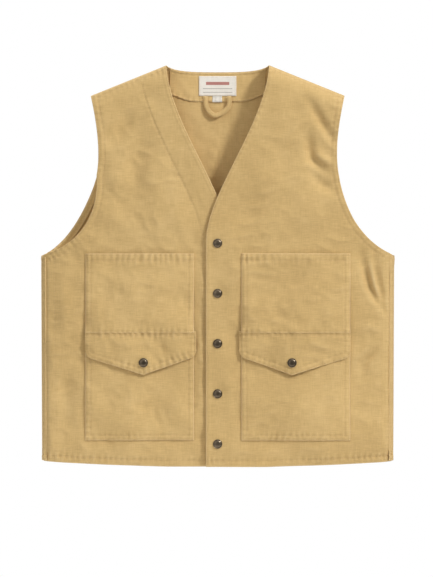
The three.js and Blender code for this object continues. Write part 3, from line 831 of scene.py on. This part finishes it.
def back_grid():
    height = climb(SHOULDER[1], REAR_STEP)
    side = side_x(height) - SIDE_ROUND + QUARTER
    wrap = side + WRAP * np.clip((UNDERARM[1] - height) / 0.003, 0, 1)
    outer = {}
    for which in SIGN:
        arm_x = at_height(armhole(BACK_FULLNESS[which]), height)
        outer[which] = np.where(height < UNDERARM[1], wrap, back_pattern(arm_x, height))
    share = height / SHOULDER[1]
    half = steps_between(0, 0.312, 0.003, 0.014, 0.0036) / 0.312
    neck_share = NECK[0] / SHOULDER[0]
    half[np.argmin(np.abs(half - neck_share))] = neck_share
    across = np.concatenate([-half[:0:-1], half])
    s = across[None, :] * np.where(across[None, :] > 0, outer["left"][:, None], outer["right"][:, None])
    x = np.minimum(np.abs(s), SHOULDER[0])
    top = np.where(x < NECK[0], np.interp(x, NECK_LINE[:, 0], NECK_LINE[:, 1]), shoulder_height(x))
    h = height[:, None] + (share**3)[:, None] * (top - SHOULDER[1])
    h = h + hem_rise(s) * ((1 - share) ** 6)[:, None]
    return np.dstack([s, h])


# ------------------------------------------------------------------ moving with the joints
def on_back(piece):
    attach(piece, "back")


def folding(side):
    """The cloth of a front bends along a line from the neck point to the foot of the side seam."""
    sign = SIGN[side]
    run = Vector((NECK[0] - FOLD_FOOT, 0, LENGTH)).normalized()
    inwards = Vector((-run.z * sign, 0, run.x))
    middle = Vector((sign * (NECK[0] + FOLD_FOOT) / 2, 0, HEM_Z + LENGTH / 2))
    start, end = tuple(middle + 0.002 * inwards), tuple(middle + 0.020 * inwards)
    return lambda piece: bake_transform(piece, "back", f"{side}_front", start, end)


def lifting(side):
    """A flap bends at its root, where the upper pocket is sewn over it."""
    x = SIGN[side] * FLAP_SNAP[0]
    start, end = (x, 0, HEM_Z + SEAM + 0.0010), (x, 0, HEM_Z + SEAM - 0.0060)
    return lambda piece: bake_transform(piece, f"{side}_front", f"{side}_flap", start, end)


def hanging(body, top, reach):
    """What hangs at the neck bends just below its sewn end."""
    start, end = (0, 0, HEM_Z + top), (0, 0, HEM_Z + top - reach)
    return lambda piece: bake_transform(piece, "back", body, start, end)


def declare(piece, move, nodes):
    """How a piece moves, and the nodes that it stands for, which are hidden."""
    move(piece)
    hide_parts(*nodes)


def sew(name, rows, lay, side, outwards, move, pitch=STITCH, radius=THREAD):
    """Rows of stitching, which move with their cloth."""
    threads = stitching(f"{name}_stitches", rows, lay, side, outwards, pitch, radius)
    move(threads)


# ------------------------------------------------------------------ rows of stitching
def level(low, high, height):
    return [(low, height), (high, height)]


def upright(x, low, high):
    return [(x, low), (x, high)]


def bar_tack(x, h, length=0.006, across=True):
    """A short dense zigzag that holds the end of a pocket mouth."""
    points = []
    for i in range(15):
        along = length * (i / 14 - 0.5)
        swing = 0.0007 * (-1) ** i
        points.append((x + along, h + swing) if across else (x + swing, h + along))
    return points


def hem_line(low, high, above):
    x = np.linspace(low, high, 40)
    return np.column_stack([x, hem_rise(x) + above])


def shoulder_line(below):
    x = np.linspace(NECK[0] + 0.003, SHOULDER[0] - 0.002, 12)
    return np.column_stack([x, shoulder_height(x) - below])


def round_pocket(inset):
    """Down, along and up a lower pocket, that far inside its edges."""
    inner, outer, low = POCKET_IN + inset, POCKET_OUT - inset, POCKET_LOW + inset
    return [(inner, POCKET_MOUTH), (inner, low), (outer, low), (outer, POCKET_MOUTH)]


POCKET_IN, POCKET_OUT, POCKET_LOW, POCKET_MOUTH, POCKET_STAND = corners("left_lower_pocket")
POCKET_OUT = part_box("left_upper_pocket_corner")[1].x  # the lower pocket's node is narrower
UPPER_TOP = corners("left_upper_pocket")[3]
FLAP_IN, FLAP_OUT, FLAP_TIP, SEAM, FLAP_STAND = corners("left_flap")
FLAP_DROP, FLAP_CORNER, FLAP_CONTROL = SEAM - 0.029, 0.0156, SEAM - 0.041
FLAP_CORNER_H = SEAM - 0.0446
REAR_LOW, REAR_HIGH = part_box("rear_pocket")
REAR_SLIT = (0.197, 0.318)


def lower_stand(s, h):
    """How far the lower pocket stands off the front."""
    from_side = np.minimum(s - POCKET_IN, POCKET_OUT - s)
    full = rise(from_side, 0.042) * rise(h - POCKET_LOW, 0.050)
    return SEWN + (POCKET_STAND - SEWN) * full


def flap_stand(s, h):
    """The flap lies over the lower pocket, and the snap holds it off by its own height."""
    away = np.hypot(s - FLAP_SNAP[0], h - FLAP_SNAP[1])
    under = lower_stand(np.clip(s, POCKET_IN, POCKET_OUT), np.minimum(h, POCKET_MOUTH))
    held_off = FLAP_STAND - POCKET_STAND - FLAP_OFF
    return under + FLAP_OFF + held_off * np.exp(-((away / 0.0226) ** 2))


def upper_stand(s, h):
    """The upper pocket starts over the flap's root, and settles down to its own mouth."""
    from_side = np.minimum(s - POCKET_IN, POCKET_OUT - s)
    at_seam = flap_stand(s, np.full(s.shape, SEAM)) + 0.0011
    at_mouth = SEWN + 0.0024 * rise(from_side, 0.032)
    stand = at_seam + smooth((h - SEAM) / 0.115) * (at_mouth - at_seam)
    held = rise(from_side, 0.014) + (1 - rise(from_side, 0.014)) * (1 - smooth((h - SEAM) / 0.014))
    return SEWN + (stand - SEWN) * held


def flap_outline():
    """The flap's lower edge, from its inner to its outer side."""
    def corner(x, way):
        t = np.linspace(0, 1, 13)[:, None]
        a, b = np.array([x, FLAP_DROP]), np.array([x, FLAP_CONTROL])
        c = np.array([x + way * FLAP_CORNER, FLAP_CORNER_H])
        return (1 - t) ** 2 * a + 2 * t * (1 - t) * b + t * t * c
    inner, outer = corner(FLAP_IN, 1), corner(FLAP_OUT, -1)[::-1]
    tip = np.array([[FLAP_SNAP[0], FLAP_TIP]])
    return np.vstack([inner, tip, outer])


FLAP_EDGE = flap_outline()


def flap_grid(inset=0.0):
    columns = np.unique(np.round(np.concatenate([
        FLAP_EDGE[:, 0], np.arange(FLAP_IN + FLAP_CORNER, FLAP_OUT - FLAP_CORNER, 0.0022),
    ]), 6))
    low = np.interp(columns, FLAP_EDGE[:, 0], FLAP_EDGE[:, 1])
    middle = (FLAP_IN + FLAP_OUT) / 2
    columns = middle + (columns - middle) * (1 - inset / (FLAP_OUT - middle))
    return block_grid(columns, low + inset, np.full(columns.shape, SEAM + 0.0010), 0.0020, 0.010, 0.004)


def pocket_lay(side, stand, rows, edges, seed, inside=0.0, loose=0.0006):
    """A layer that stands off a front, with soft waves of its own away from its sewn edges."""
    def lay(s, h):
        from_side = np.minimum(s - POCKET_IN, POCKET_OUT - s)
        quiet = smooth(from_side / 0.03) * smooth((h - POCKET_LOW) / 0.03)
        quiet = quiet * smooth((UPPER_TOP - h) / 0.02 + 0.3)
        relief = undulation(s, h, seed, 0.085, loose) + crumple(s, h, seed + 3, 0.036, 0.0004)
        for line, width, height in POCKET_FOLDS[side]:
            relief += fold(s, h, line, width, height)
        still = calm([FLAP_SNAP], s, h)
        y = front_base(side, s, h) - stand(s, h) + inside - relief * quiet * still
        y -= seam_relief(rows, s, h, seed) * calm([FLAP_SNAP], s, h, 0.009)
        for line in edges:
            y -= turned_edge(line, s, h)
        return s, y
    return lay


POCKET_FOLDS = {
    "left": [
        ([(0.150, 0.330), (0.080, 0.250)], 0.014, -0.0019),
        ([(0.110, 0.300), (0.140, 0.232)], 0.010, 0.0019),
        ([(0.160, 0.262), (0.196, 0.236)], 0.008, 0.0016),
        ([(0.088, 0.258), (0.120, 0.228)], 0.007, -0.0016),
        ([(0.150, 0.145), (0.186, 0.070)], 0.014, -0.0016),
        ([(0.076, 0.130), (0.060, 0.070)], 0.012, 0.0014),
        ([(0.136, 0.208), (0.184, 0.188)], 0.006, 0.0016),
        ([(0.060, 0.208), (0.090, 0.190)], 0.006, 0.0014),
    ],
    "right": [
        ([(0.060, 0.322), (0.100, 0.290), (0.160, 0.240)], 0.014, 0.0024),
        ([(0.052, 0.290), (0.110, 0.236)], 0.010, -0.0022),
        ([(0.150, 0.320), (0.130, 0.250)], 0.014, 0.0014),
        ([(0.104, 0.150), (0.120, 0.066)], 0.014, -0.0019),
        ([(0.146, 0.140), (0.176, 0.076)], 0.012, 0.0014),
        ([(0.098, 0.212), (0.084, 0.182)], 0.006, -0.0019),
        ([(0.156, 0.210), (0.140, 0.188)], 0.006, 0.0016),
        ([(0.116, 0.212), (0.104, 0.184)], 0.005, 0.0016),
    ],
}

# ------------------------------------------------------------------ the two fronts
INSIDE = ("canvas_inside", "canvas_inside")
FACING_DISTANCES = -np.linspace(0.0012, ARM_FACING_WIDTH, 6)


def face_armhole(name, strip, lay, side, outwards):
    """The narrow strip inside an armhole. It stays with the back, as the armhole does."""
    piece = cloth(name, strip, lay, side, outwards, FACING_PLY, INSIDE)
    declare(piece, on_back, [name])


def make_front(side):
    name, move = f"{side}_front", folding(side)
    arm = armhole(FULLNESS[side])
    edge_row = beside(FRONT_EDGE, 0.0022)
    edge_row = edge_row[edge_row[:, 1] < LENGTH - 0.006]
    facing_row = beside(FRONT_EDGE, FACING_WIDTH - 0.002)
    facing_row = facing_row[facing_row[:, 1] < shoulder_height(facing_row[:, 0]) - 0.006]
    arm_rows = [beside(arm, -0.0022), beside(arm, -0.0100)]
    corner = (UNDERARM[0] - 0.011, UNDERARM[1] + 0.004)
    arm_rows = [row[(row[:, 0] < corner[0]) | (row[:, 1] > corner[1])] for row in arm_rows]
    hem_row = hem_line(-LAP + 0.002, HEM_CORNER[0] - 0.009, 0.0105)
    climbing = np.linspace(0.012, UNDERARM[1] + 0.003, 20)
    side_row = np.column_stack([side_x(climbing) - 0.0225, climbing])
    rows = [edge_row, *arm_rows, hem_row, side_row, shoulder_line(0.0065)]
    if side == "right":
        rows.append(facing_row)
    edges = [FRONT_EDGE, arm, hem_line(-LAP, HEM_CORNER[0] - SEAM_INSET, 0.0)]
    lay = front_lay(side, rows, edges)
    grid = front_grid(side)
    piece = cloth(name, grid, lay, side, -1)
    declare(piece, move, [f"{name}_panel", f"{name}_yoke"])
    tacks = [bar_tack(side_x(h) - 0.0160, h, 0.010) for h in (0.187, 0.030)]
    sew(name, rows + tacks, lay, side, -1, move)

    wide = np.linspace(0.006, FACING_WIDTH - 0.002, 12)
    strip = strip_grid(FRONT_EDGE, [0.0010, 0.002, 0.0035, *wide, FACING_WIDTH], 190)
    inner = front_lay(side, rows, edges, BETWEEN_PLIES)
    facing = f"{name}_facing"
    piece = cloth(facing, strip, inner, side, 1, FACING_PLY, INSIDE)
    declare(piece, move, [facing])

    strip = strip_grid(arm, FACING_DISTANCES, 110)
    strip[..., 0] = np.minimum(strip[..., 0], side_x(strip[..., 1]) - 0.0045)
    face_armhole(f"{side}_arm_facing_front", strip[:, ::-1], inner, side, 1)


def make_pockets(side):
    front, move = f"{side}_front", folding(side)
    name, columns = f"{side}_lower_pocket", steps_between(POCKET_IN, POCKET_OUT)
    around = [round_pocket(0.002), round_pocket(0.009)]
    mouth_row = level(POCKET_IN, POCKET_OUT, POCKET_MOUTH - 0.012)
    edges = [level(POCKET_IN, POCKET_OUT, POCKET_LOW)]
    edges += [upright(x, POCKET_LOW, POCKET_MOUTH) for x in (POCKET_IN, POCKET_OUT)]
    grid = rectangle(columns, POCKET_LOW, POCKET_MOUTH)
    lay = pocket_lay(side, lower_stand, [*around, mouth_row], edges, 21 + SIGN[side])
    piece = cloth(name, grid, lay, side, -1)
    declare(piece, move, [name])
    sew(name, around, lay, side, -1, move)

    name, foot = f"{side}_upper_pocket", SEAM - 0.0010
    rows = [upright(x, foot, UPPER_TOP) for x in (POCKET_IN + 0.002, POCKET_OUT - 0.002)]
    rows += [upright(x, foot, UPPER_TOP - 0.011) for x in (POCKET_IN + 0.009, POCKET_OUT - 0.009)]
    rows += [level(POCKET_IN + 0.001, POCKET_OUT - 0.001, UPPER_TOP - below) for below in (0.0022, 0.0110)]
    rows.append(level(POCKET_IN, POCKET_OUT, SEAM + 0.0018))
    edges = [level(POCKET_IN, POCKET_OUT, UPPER_TOP)]
    edges += [upright(x, foot, UPPER_TOP) for x in (POCKET_IN, POCKET_OUT)]
    grid = rectangle(columns, foot, UPPER_TOP, edge_low=0.010)
    lay = pocket_lay(side, upper_stand, rows, edges, 33 + SIGN[side], loose=0.0010)
    piece = cloth(name, grid, lay, side, -1)
    declare(piece, move, [name, f"{name}_corner"])
    tacks = [bar_tack(x, UPPER_TOP - 0.0012) for x in (POCKET_IN + 0.005, POCKET_OUT - 0.005)]
    sew(name, rows + tacks, lay, side, -1, move)

    edge = np.vstack([[(FLAP_IN, SEAM)], FLAP_EDGE, [(FLAP_OUT, SEAM)]])
    rows = [beside(resampled(edge, 0.006), -0.0022), beside(resampled(edge, 0.006), -0.0095)]
    rows = [row[(row[:, 1] < SEAM - 0.002) & (row[:, 0] > FLAP_IN + 0.001)] for row in rows]
    rows.append(level(FLAP_IN + 0.001, FLAP_OUT - 0.001, SEAM - 0.0045))
    for label, inset, inside, outwards in (
        (f"{side}_flap", 0.0, 0.0, -1),
        (f"{side}_flap_lining", 0.0008, BETWEEN_PLIES, 1),
    ):
        grid = flap_grid(inset)
        lay = pocket_lay(side, flap_stand, rows, [edge], 33 + SIGN[side], inside, loose=0.0010)
        piece = cloth(label, grid, lay, side, outwards, PLY, ("canvas", "canvas"))
        declare(piece, lifting(side), [label])
        sew(label, rows, lay, side, outwards, lifting(side))


# ------------------------------------------------------------------ the back and what is sewn to it
def rear_stand(s, h):
    """How far the rear pocket stands off the back."""
    low, high, half = REAR_LOW.z - HEM_Z, REAR_HIGH.z - HEM_Z, REAR_HIGH.x
    x = np.where(np.abs(s) < 0.25, np.abs(s), back_base(s, h)[3])
    slit = smooth((h - REAR_SLIT[0]) / 0.03) * smooth((REAR_SLIT[1] - h) / 0.03)
    full = rise(half - x, 0.060) * rise(h - low, 0.050)
    full = full * (0.45 + 0.55 * rise(high - h, 0.060))
    gaping = 0.0012 * slit * (1 - rise(half - x, 0.02))
    return SEWN + (REAR_HIGH.y - BACK_Y - SEWN) * np.minimum(1, full) + gaping


def make_back():
    flip = np.array([-1, 1])
    climbing = np.linspace(0.011, UNDERARM[1] - 0.003, 20)
    side_end = np.column_stack([side_x(climbing) - SIDE_ROUND + QUARTER + WRAP, climbing])
    arm_line = {}
    for side in SIGN:
        arm = armhole(BACK_FULLNESS[side])
        arm_line[side] = np.column_stack([back_pattern(arm[:, 0], arm[:, 1]), arm[:, 1]])
    neck = np.vstack([NECK_LINE[::-1] * flip, NECK_LINE[1:]])
    arm_rows = {side: [beside(line, -0.0022), beside(line, -0.0100)] for side, line in arm_line.items()}
    paired = [side_end - np.array([0.0016, 0]), side_end - np.array([0.0075, 0]), shoulder_line(0.0050)]
    rows = [hem_line(-0.320, 0.320, 0.0105), neck - np.array([0, 0.0022]), *paired, *arm_rows["left"]]
    rows += [row * flip for row in (*paired, *arm_rows["right"])]
    edges = [hem_line(-0.32, 0.32, 0.0), arm_line["left"], arm_line["right"] * flip, neck]
    edges += [side_end, side_end * flip]
    lay = back_lay(rows, edges)
    grid = back_grid()
    piece = cloth("back", grid, lay, None, 1)
    declare(piece, on_back, ["back_panel"])
    sew("back", rows, lay, None, 1, on_back)

    inner = back_lay(rows, edges, BETWEEN_PLIES)
    for side, sign in SIGN.items():
        strip = strip_grid(arm_line[side], FACING_DISTANCES, 110) * (sign, 1)
        if sign > 0:
            strip = strip[:, ::-1]
        face_armhole(f"{side}_arm_facing_back", strip, inner, None, -1)

    name = "back_neck_facing"
    facing_low, facing_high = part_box(name)
    half, centre = facing_high.x + 0.0105, facing_low.z - HEM_Z
    columns = steps_between(-half, half, 0.006, 0.006, 0.003)
    low = centre + 0.0012 + 0.016 * smooth((np.abs(columns) - half + 0.040) / 0.060)
    high = np.interp(np.abs(columns), NECK_LINE[:, 0], NECK_LINE[:, 1]) - 0.0012
    facing_row = np.column_stack([columns, low + 0.0020])
    grid = block_grid(columns, low, high, 0.003)
    lay = back_lay([*rows, facing_row], edges, BETWEEN_PLIES)
    piece = cloth(name, grid, lay, None, -1, FACING_PLY, INSIDE)
    declare(piece, on_back, [name])
    sew(name, [facing_row, neck - np.array([0, 0.0040])], lay, None, -1, on_back)

    make_label(lay)
    make_rear_pocket()


def make_rear_pocket():
    name, low, high = "rear_pocket", REAR_LOW.z - HEM_Z, REAR_HIGH.z - HEM_Z
    reach = float(back_pattern(np.array(REAR_HIGH.x), np.array((low + high) / 2)))
    grid = rectangle(steps_between(-reach, reach, 0.012, 0.012, REAR_STEP), low, high, REAR_STEP)
    rows = [upright(sign * (reach - gap), a, b) for sign in (-1, 1) for gap in (0.002, 0.009)
            for a, b in ((low, REAR_SLIT[0]), (REAR_SLIT[1], high))]
    rows += [level(-reach, reach, h) for h in (low + 0.002, low + 0.009, high - 0.002, high - 0.009)]
    edges = [level(-reach, reach, low), level(-reach, reach, high)]
    edges += [upright(reach, low, high), upright(-reach, low, high)]

    def lay(s, h):
        x, y, turn, _ = back_base(s, h)
        own = undulation(s, h, 71, 0.14, 0.0011) + crumple(s, h, 73, 0.036, 0.0004)
        own *= smooth((reach - np.abs(s)) / 0.05) * smooth((h - low) / 0.04) * smooth((high - h) / 0.04)
        sunk = own * own / 0.004
        lift = rear_stand(s, h) - sunk + seam_relief(rows, s, h, 5)
        for line in edges:
            lift = lift + turned_edge(line, s, h)
        return x + np.sign(s) * lift * np.cos(turn), y + lift * np.sin(turn)

    piece = cloth(name, grid, lay, None, 1)
    declare(piece, on_back, [name])
    tacks = [bar_tack(sign * (reach - 0.005), h) for sign in (-1, 1) for h in REAR_SLIT]
    sew(name, rows + tacks, lay, None, 1, on_back)


def make_label(under):
    """The woven neck label, the small size tag under it, and the hanger loop."""
    def above(amount, curl=0.0):
        def lay(s, h):
            x, y = under(s, h)
            return x, y - amount - curl * smooth((0.602 - h) / 0.01)
        return lay

    name, lay = "neck_label", above(0.0010)
    low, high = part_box(name)
    columns = steps_between(low.x, high.x, 0.003, 0.003, 0.0015)
    grid = rectangle(columns, low.z - HEM_Z, high.z - HEM_Z, 0.0015, 0.003, 0.003)
    piece = cloth(name, grid, lay, None, -1, 0.0007, ("label_weave", "label_weave"))
    declare(piece, on_back, [name])
    left, right = low.x + 0.0014, high.x - 0.0014
    bottom, top = low.z - HEM_Z + 0.0014, high.z - HEM_Z - 0.0014
    row = [(left, bottom), (right, bottom), (right, top), (left, top), (left, bottom)]
    sew(name, [row], lay, None, -1, on_back, 0.0022, 0.00018)

    name = "size_tag"
    low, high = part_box(name)
    columns = np.linspace(low.x, high.x, 12)
    grid = rectangle(columns, low.z - HEM_Z, high.z - HEM_Z + 0.002, 0.001, 0.002, 0.002)
    piece = cloth(name, grid, above(0.0007, 0.0006), None, -1, 0.0005, ("tag_weave", "tag_weave"))
    move = hanging(name, 0.6026, 0.0025)
    declare(piece, move, [name])

    name = "hanger_loop"
    low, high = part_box(name)
    foot, root, half = low.z - HEM_Z, high.z - HEM_Z, high.x - 0.0034
    down = [(-half, root), (-half - 0.0006, root - 0.016), (-half + 0.002, foot + 0.010),
            (-0.006, foot + 0.0036)]
    along = [(-0.006, foot + 0.0036), (0.003, foot + 0.0024), (0.011, foot + 0.010), (0.016, foot + 0.015)]
    back_up = [(0.016, foot + 0.015), (half + 0.0005, foot + 0.020), (half, root - 0.010),
               (half - 0.001, root)]
    line = np.vstack([bezier(down, 20), bezier(along, 16)[1:], bezier(back_up, 16)[1:]])
    widths = (-0.0037, -0.0032, -0.0018, 0, 0.0018, 0.0032, 0.0037)
    grid = np.stack([with_count(beside(line, width), 70) for width in widths], axis=1)

    def ribbon(s, h):
        depth = low.y + 0.0003 + 0.0007 * np.sin(s / 0.006) * smooth((root - h) / 0.012)
        away, _ = nearest(line, s, h)
        return s, depth + 0.0006 * smooth((away - 0.0020) / 0.0012)

    piece = cloth(name, grid, ribbon, None, -1, 0.0013, INSIDE)
    move = hanging(name, root, 0.004)
    declare(piece, move, [name])
    rows = [beside(line, -0.0020), beside(line, 0.0020)]
    sew(name, rows, ribbon, None, -1, move, 0.0026, 0.0002)


# ------------------------------------------------------------------ snap fasteners
def start_round(name, radius, depth, sides=40):
    """A short upright cylinder from z 0 to depth, in edit mode."""
    bpy.ops.object.select_all(action="DESELECT")
    middle = (0, 0, depth / 2)
    bpy.ops.mesh.primitive_cylinder_add(vertices=sides, radius=radius, depth=depth, location=middle)
    piece = bpy.context.object
    piece.name = name
    bpy.ops.object.mode_set(mode="EDIT")
    bpy.ops.mesh.select_mode(type="FACE")
    return piece


def build_from(piece, radius, level, profile):
    """Draws the flat face of that radius and level out through rings of (radius, level)."""
    bpy.ops.mesh.select_all(action="DESELECT")
    shape = bmesh.from_edit_mesh(piece.data)
    middle = piece.location.z
    for face in shape.faces:
        if len(face.verts) > 8 and abs(face.calc_center_median().z + middle - level) < 1e-6:
            face.select = True
    bmesh.update_edit_mesh(piece.data)
    for next_radius, next_level in profile:
        share = next_radius / radius
        bpy.ops.mesh.extrude_region_move()
        bpy.ops.transform.resize(value=(share, share, 1), center_override=(0, 0, 0))
        bpy.ops.transform.translate(value=(0, 0, next_level - level))
        radius, level = next_radius, next_level


def finish_round(piece, bevel, material, towards):
    """Rounds the rims off, turns the axis, and leaves the object at the origin."""
    bpy.ops.object.mode_set(mode="OBJECT")
    rim = piece.modifiers.new("rims", "BEVEL")
    rim.width = bevel
    rim.segments = 2
    rim.angle_limit = math.radians(32)
    apply_modifiers(piece)
    piece.data.transform(piece.matrix_world)
    piece.matrix_world = Matrix.Identity(4)
    piece.data.transform(Matrix.Rotation(math.radians(90 if towards < 0 else -90), 4, "X"))
    piece.data.materials.clear()
    piece.data.materials.append(MATERIALS[material])
    piece.select_set(True)
    bpy.context.view_layer.objects.active = piece
    bpy.ops.object.shade_smooth_by_angle(angle=math.radians(38))
    piece.select_set(False)
    return piece


def model_cap(depth):
    """A domed cap with a rolled rim and a groove inside it, and its rivet behind."""
    top, foot, radius = 0.0030, 0.0011, 0.0060
    piece = start_round("cap", 0.0075, 0.0009)
    crown = [math.radians(9.4 * i) for i in range(1, 10)]
    rings = [(0.0074, 0.0013), (0.0071, 0.0015), (0.0067, 0.0015), (0.0063, 0.0012), (0.0061, 0.0010)]
    rings += [(radius * math.cos(turn), foot + (top - foot) * math.sin(turn)) for turn in crown]
    build_from(piece, 0.0075, 0.0009, rings)
    build_from(piece, 0.0075, 0.0, [(0.0069, 0.0001), (0.0017, 0.0001), (0.0017, 0.0030 - depth)])
    return finish_round(piece, 0.00010, "dark_brass", -1)


def model_socket(depth):
    """A pressed cup: a plate, a rounded wall, and the hole that the stud snaps into."""
    piece = start_round("socket", 0.0062, 0.0006)
    wall = [(0.0062, depth - 0.0006), (0.0060, depth - 0.0002), (0.0056, depth), (0.0046, depth)]
    hollow = [(0.0042, depth - 0.0002), (0.0040, depth - 0.0007), (0.0040, 0.0009), (0.0038, 0.0008)]
    eyelet = [(0.0021, 0.0008), (0.0019, 0.0010), (0.0015, 0.0010), (0.0012, 0.0006)]
    build_from(piece, 0.0062, 0.0006, wall + hollow + eyelet)
    return finish_round(piece, 0.00010, "snap_metal", 1)


def model_stud(depth):
    """A flat base with a round knob on a narrower neck, hollow in the middle."""
    piece = start_round("stud", 0.0060, 0.0005)
    base = [(0.0057, 0.0007), (0.0051, 0.0008), (0.0042, 0.0008), (0.0034, 0.0006), (0.0029, 0.0007)]
    knob = [(0.0028, 0.0010), (0.0032, 0.0014), (0.0034, 0.0017), (0.0033, depth - 0.0004)]
    crown = [(0.0029, depth - 0.0001), (0.0025, depth), (0.0021, depth), (0.0019, depth - 0.0003)]
    build_from(piece, 0.0060, 0.0005, base + knob + crown + [(0.0018, 0.0011)])
    return finish_round(piece, 0.00008, "snap_metal", -1)


def model_post(depth):
    """The ring behind the cloth that the stud is riveted to."""
    piece = start_round("post", 0.0062, 0.0004)
    ring = [(0.0060, 0.0007), (0.0056, 0.0008), (0.0040, 0.0008), (0.0034, 0.0005), (0.0024, 0.0004)]
    eyelet = [(0.0021, 0.0006), (0.0016, 0.0006), (0.0013, 0.0003)]
    build_from(piece, 0.0062, 0.0004, ring + eyelet)
    build_from(piece, 0.0062, 0.0, [(0.0017, 0.0), (0.0017, 0.0008 - depth)])
    return finish_round(piece, 0.00010, "snap_metal", 1)


def make_snaps():
    models = {"cap": model_cap, "socket": model_socket, "stud": model_stud, "post": model_post}
    made = {}
    spots = [(f"front_snap_{kind}_{i}", kind) for kind in models for i in range(1, 6)]
    spots += [(f"{side}_flap_{kind}", kind) for kind in models for side in SIGN]
    for number, (node, kind) in enumerate(spots):
        low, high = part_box(node)
        depth = round(high.y - low.y, 6)
        if (kind, depth) not in made:
            made[kind, depth] = models[kind](depth)
        piece = bpy.data.objects.new(f"{node}_metal", made[kind, depth].data.copy())
        bpy.context.collection.objects.link(piece)
        turn = Matrix.Rotation(0.7 * number, 4, "Y")
        rest = {"cap": low.y + 0.0030, "socket": low.y, "stud": high.y, "post": high.y - 0.0008}[kind]
        place = Matrix.Translation(((low.x + high.x) / 2, rest, (low.z + high.z) / 2))
        piece.data.transform(place @ turn)
        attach(piece, body_of(frame["nodes"][node])[0])
        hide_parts(node)
    for model in made.values():
        bpy.data.objects.remove(model)


# ------------------------------------------------------------------ floor, light and camera
def make_stage():
    bpy.ops.object.select_all(action="DESELECT")
    bpy.ops.mesh.primitive_circle_add(vertices=96, radius=1.15, fill_type="NGON", location=(0, 0, -1.0))
    floor = bpy.context.object
    floor.name = "floor"
    material, shader = new_material("pale_floor", 0.7)
    shader.inputs["Base Color"].default_value = (0.86, 0.86, 0.86, 1)
    floor.data.materials.append(material)
    for name, place, size, power in (
        ("key", (2.2, -1.9, 1.62), 0.5, 71),
        ("fill", (-1.9, -2.4, 0.2), 1.8, 9),
        ("top", (0.1, -0.6, 2.2), 1.6, 12),
        ("behind", (-1.9, 1.9, 1.3), 0.8, 46),
    ):
        lamp = bpy.data.lights.new(name, "AREA")
        lamp.size = size
        lamp.energy = power
        light = bpy.data.objects.new(name, lamp)
        bpy.context.collection.objects.link(light)
        light.location = place
        aim = Vector((0, 0, -0.33)) - Vector(place)
        light.rotation_euler = aim.to_track_quat("-Z", "Y").to_euler()
    world = bpy.data.worlds.new("studio")
    world.use_nodes = True
    bpy.context.scene.world = world
    tree = world.node_tree
    ground = tree.nodes["Background"]
    split = tree.nodes.new("ShaderNodeSeparateXYZ")
    tree.links.new(tree.nodes.new("ShaderNodeTexCoord").outputs["Generated"], split.inputs[0])
    sky = tree.nodes.new("ShaderNodeMapRange")
    sky.inputs["From Min"].default_value = -0.7
    sky.inputs["From Max"].default_value = 0.7
    sky.inputs["To Min"].default_value = 0.12
    sky.inputs["To Max"].default_value = 0.58
    tree.links.new(split.outputs[2], sky.inputs["Value"])
    tree.links.new(sky.outputs["Result"], ground.inputs["Strength"])
    ground.inputs["Color"].default_value = (1.0, 0.985, 0.96, 1)
    seen = tree.nodes.new("ShaderNodeBackground")
    seen.inputs["Color"].default_value = (1, 1, 1, 1)
    seen.inputs["Strength"].default_value = 1.0
    path = tree.nodes.new("ShaderNodeLightPath")
    mix = tree.nodes.new("ShaderNodeMixShader")
    tree.links.new(path.outputs["Is Camera Ray"], mix.inputs[0])
    tree.links.new(ground.outputs[0], mix.inputs[1])
    tree.links.new(seen.outputs[0], mix.inputs[2])
    tree.links.new(mix.outputs[0], tree.nodes["World Output"].inputs["Surface"])
    bpy.context.scene.view_settings.view_transform = "Standard"

    lens = bpy.data.cameras.new("camera")
    lens.lens = 85
    lens.sensor_fit = "VERTICAL"
    lens.sensor_height = 24
    camera = bpy.data.objects.new("camera", lens)
    bpy.context.collection.objects.link(camera)
    camera.location = (-0.0018, -3.32, HEM_Z + LENGTH / 2 - 0.037)
    camera.rotation_euler = (math.pi / 2, 0, 0)
    bpy.context.scene.camera = camera


make_stage()
make_back()
for side in SIGN:
    make_front(side)
    make_pockets(side)
make_snaps()
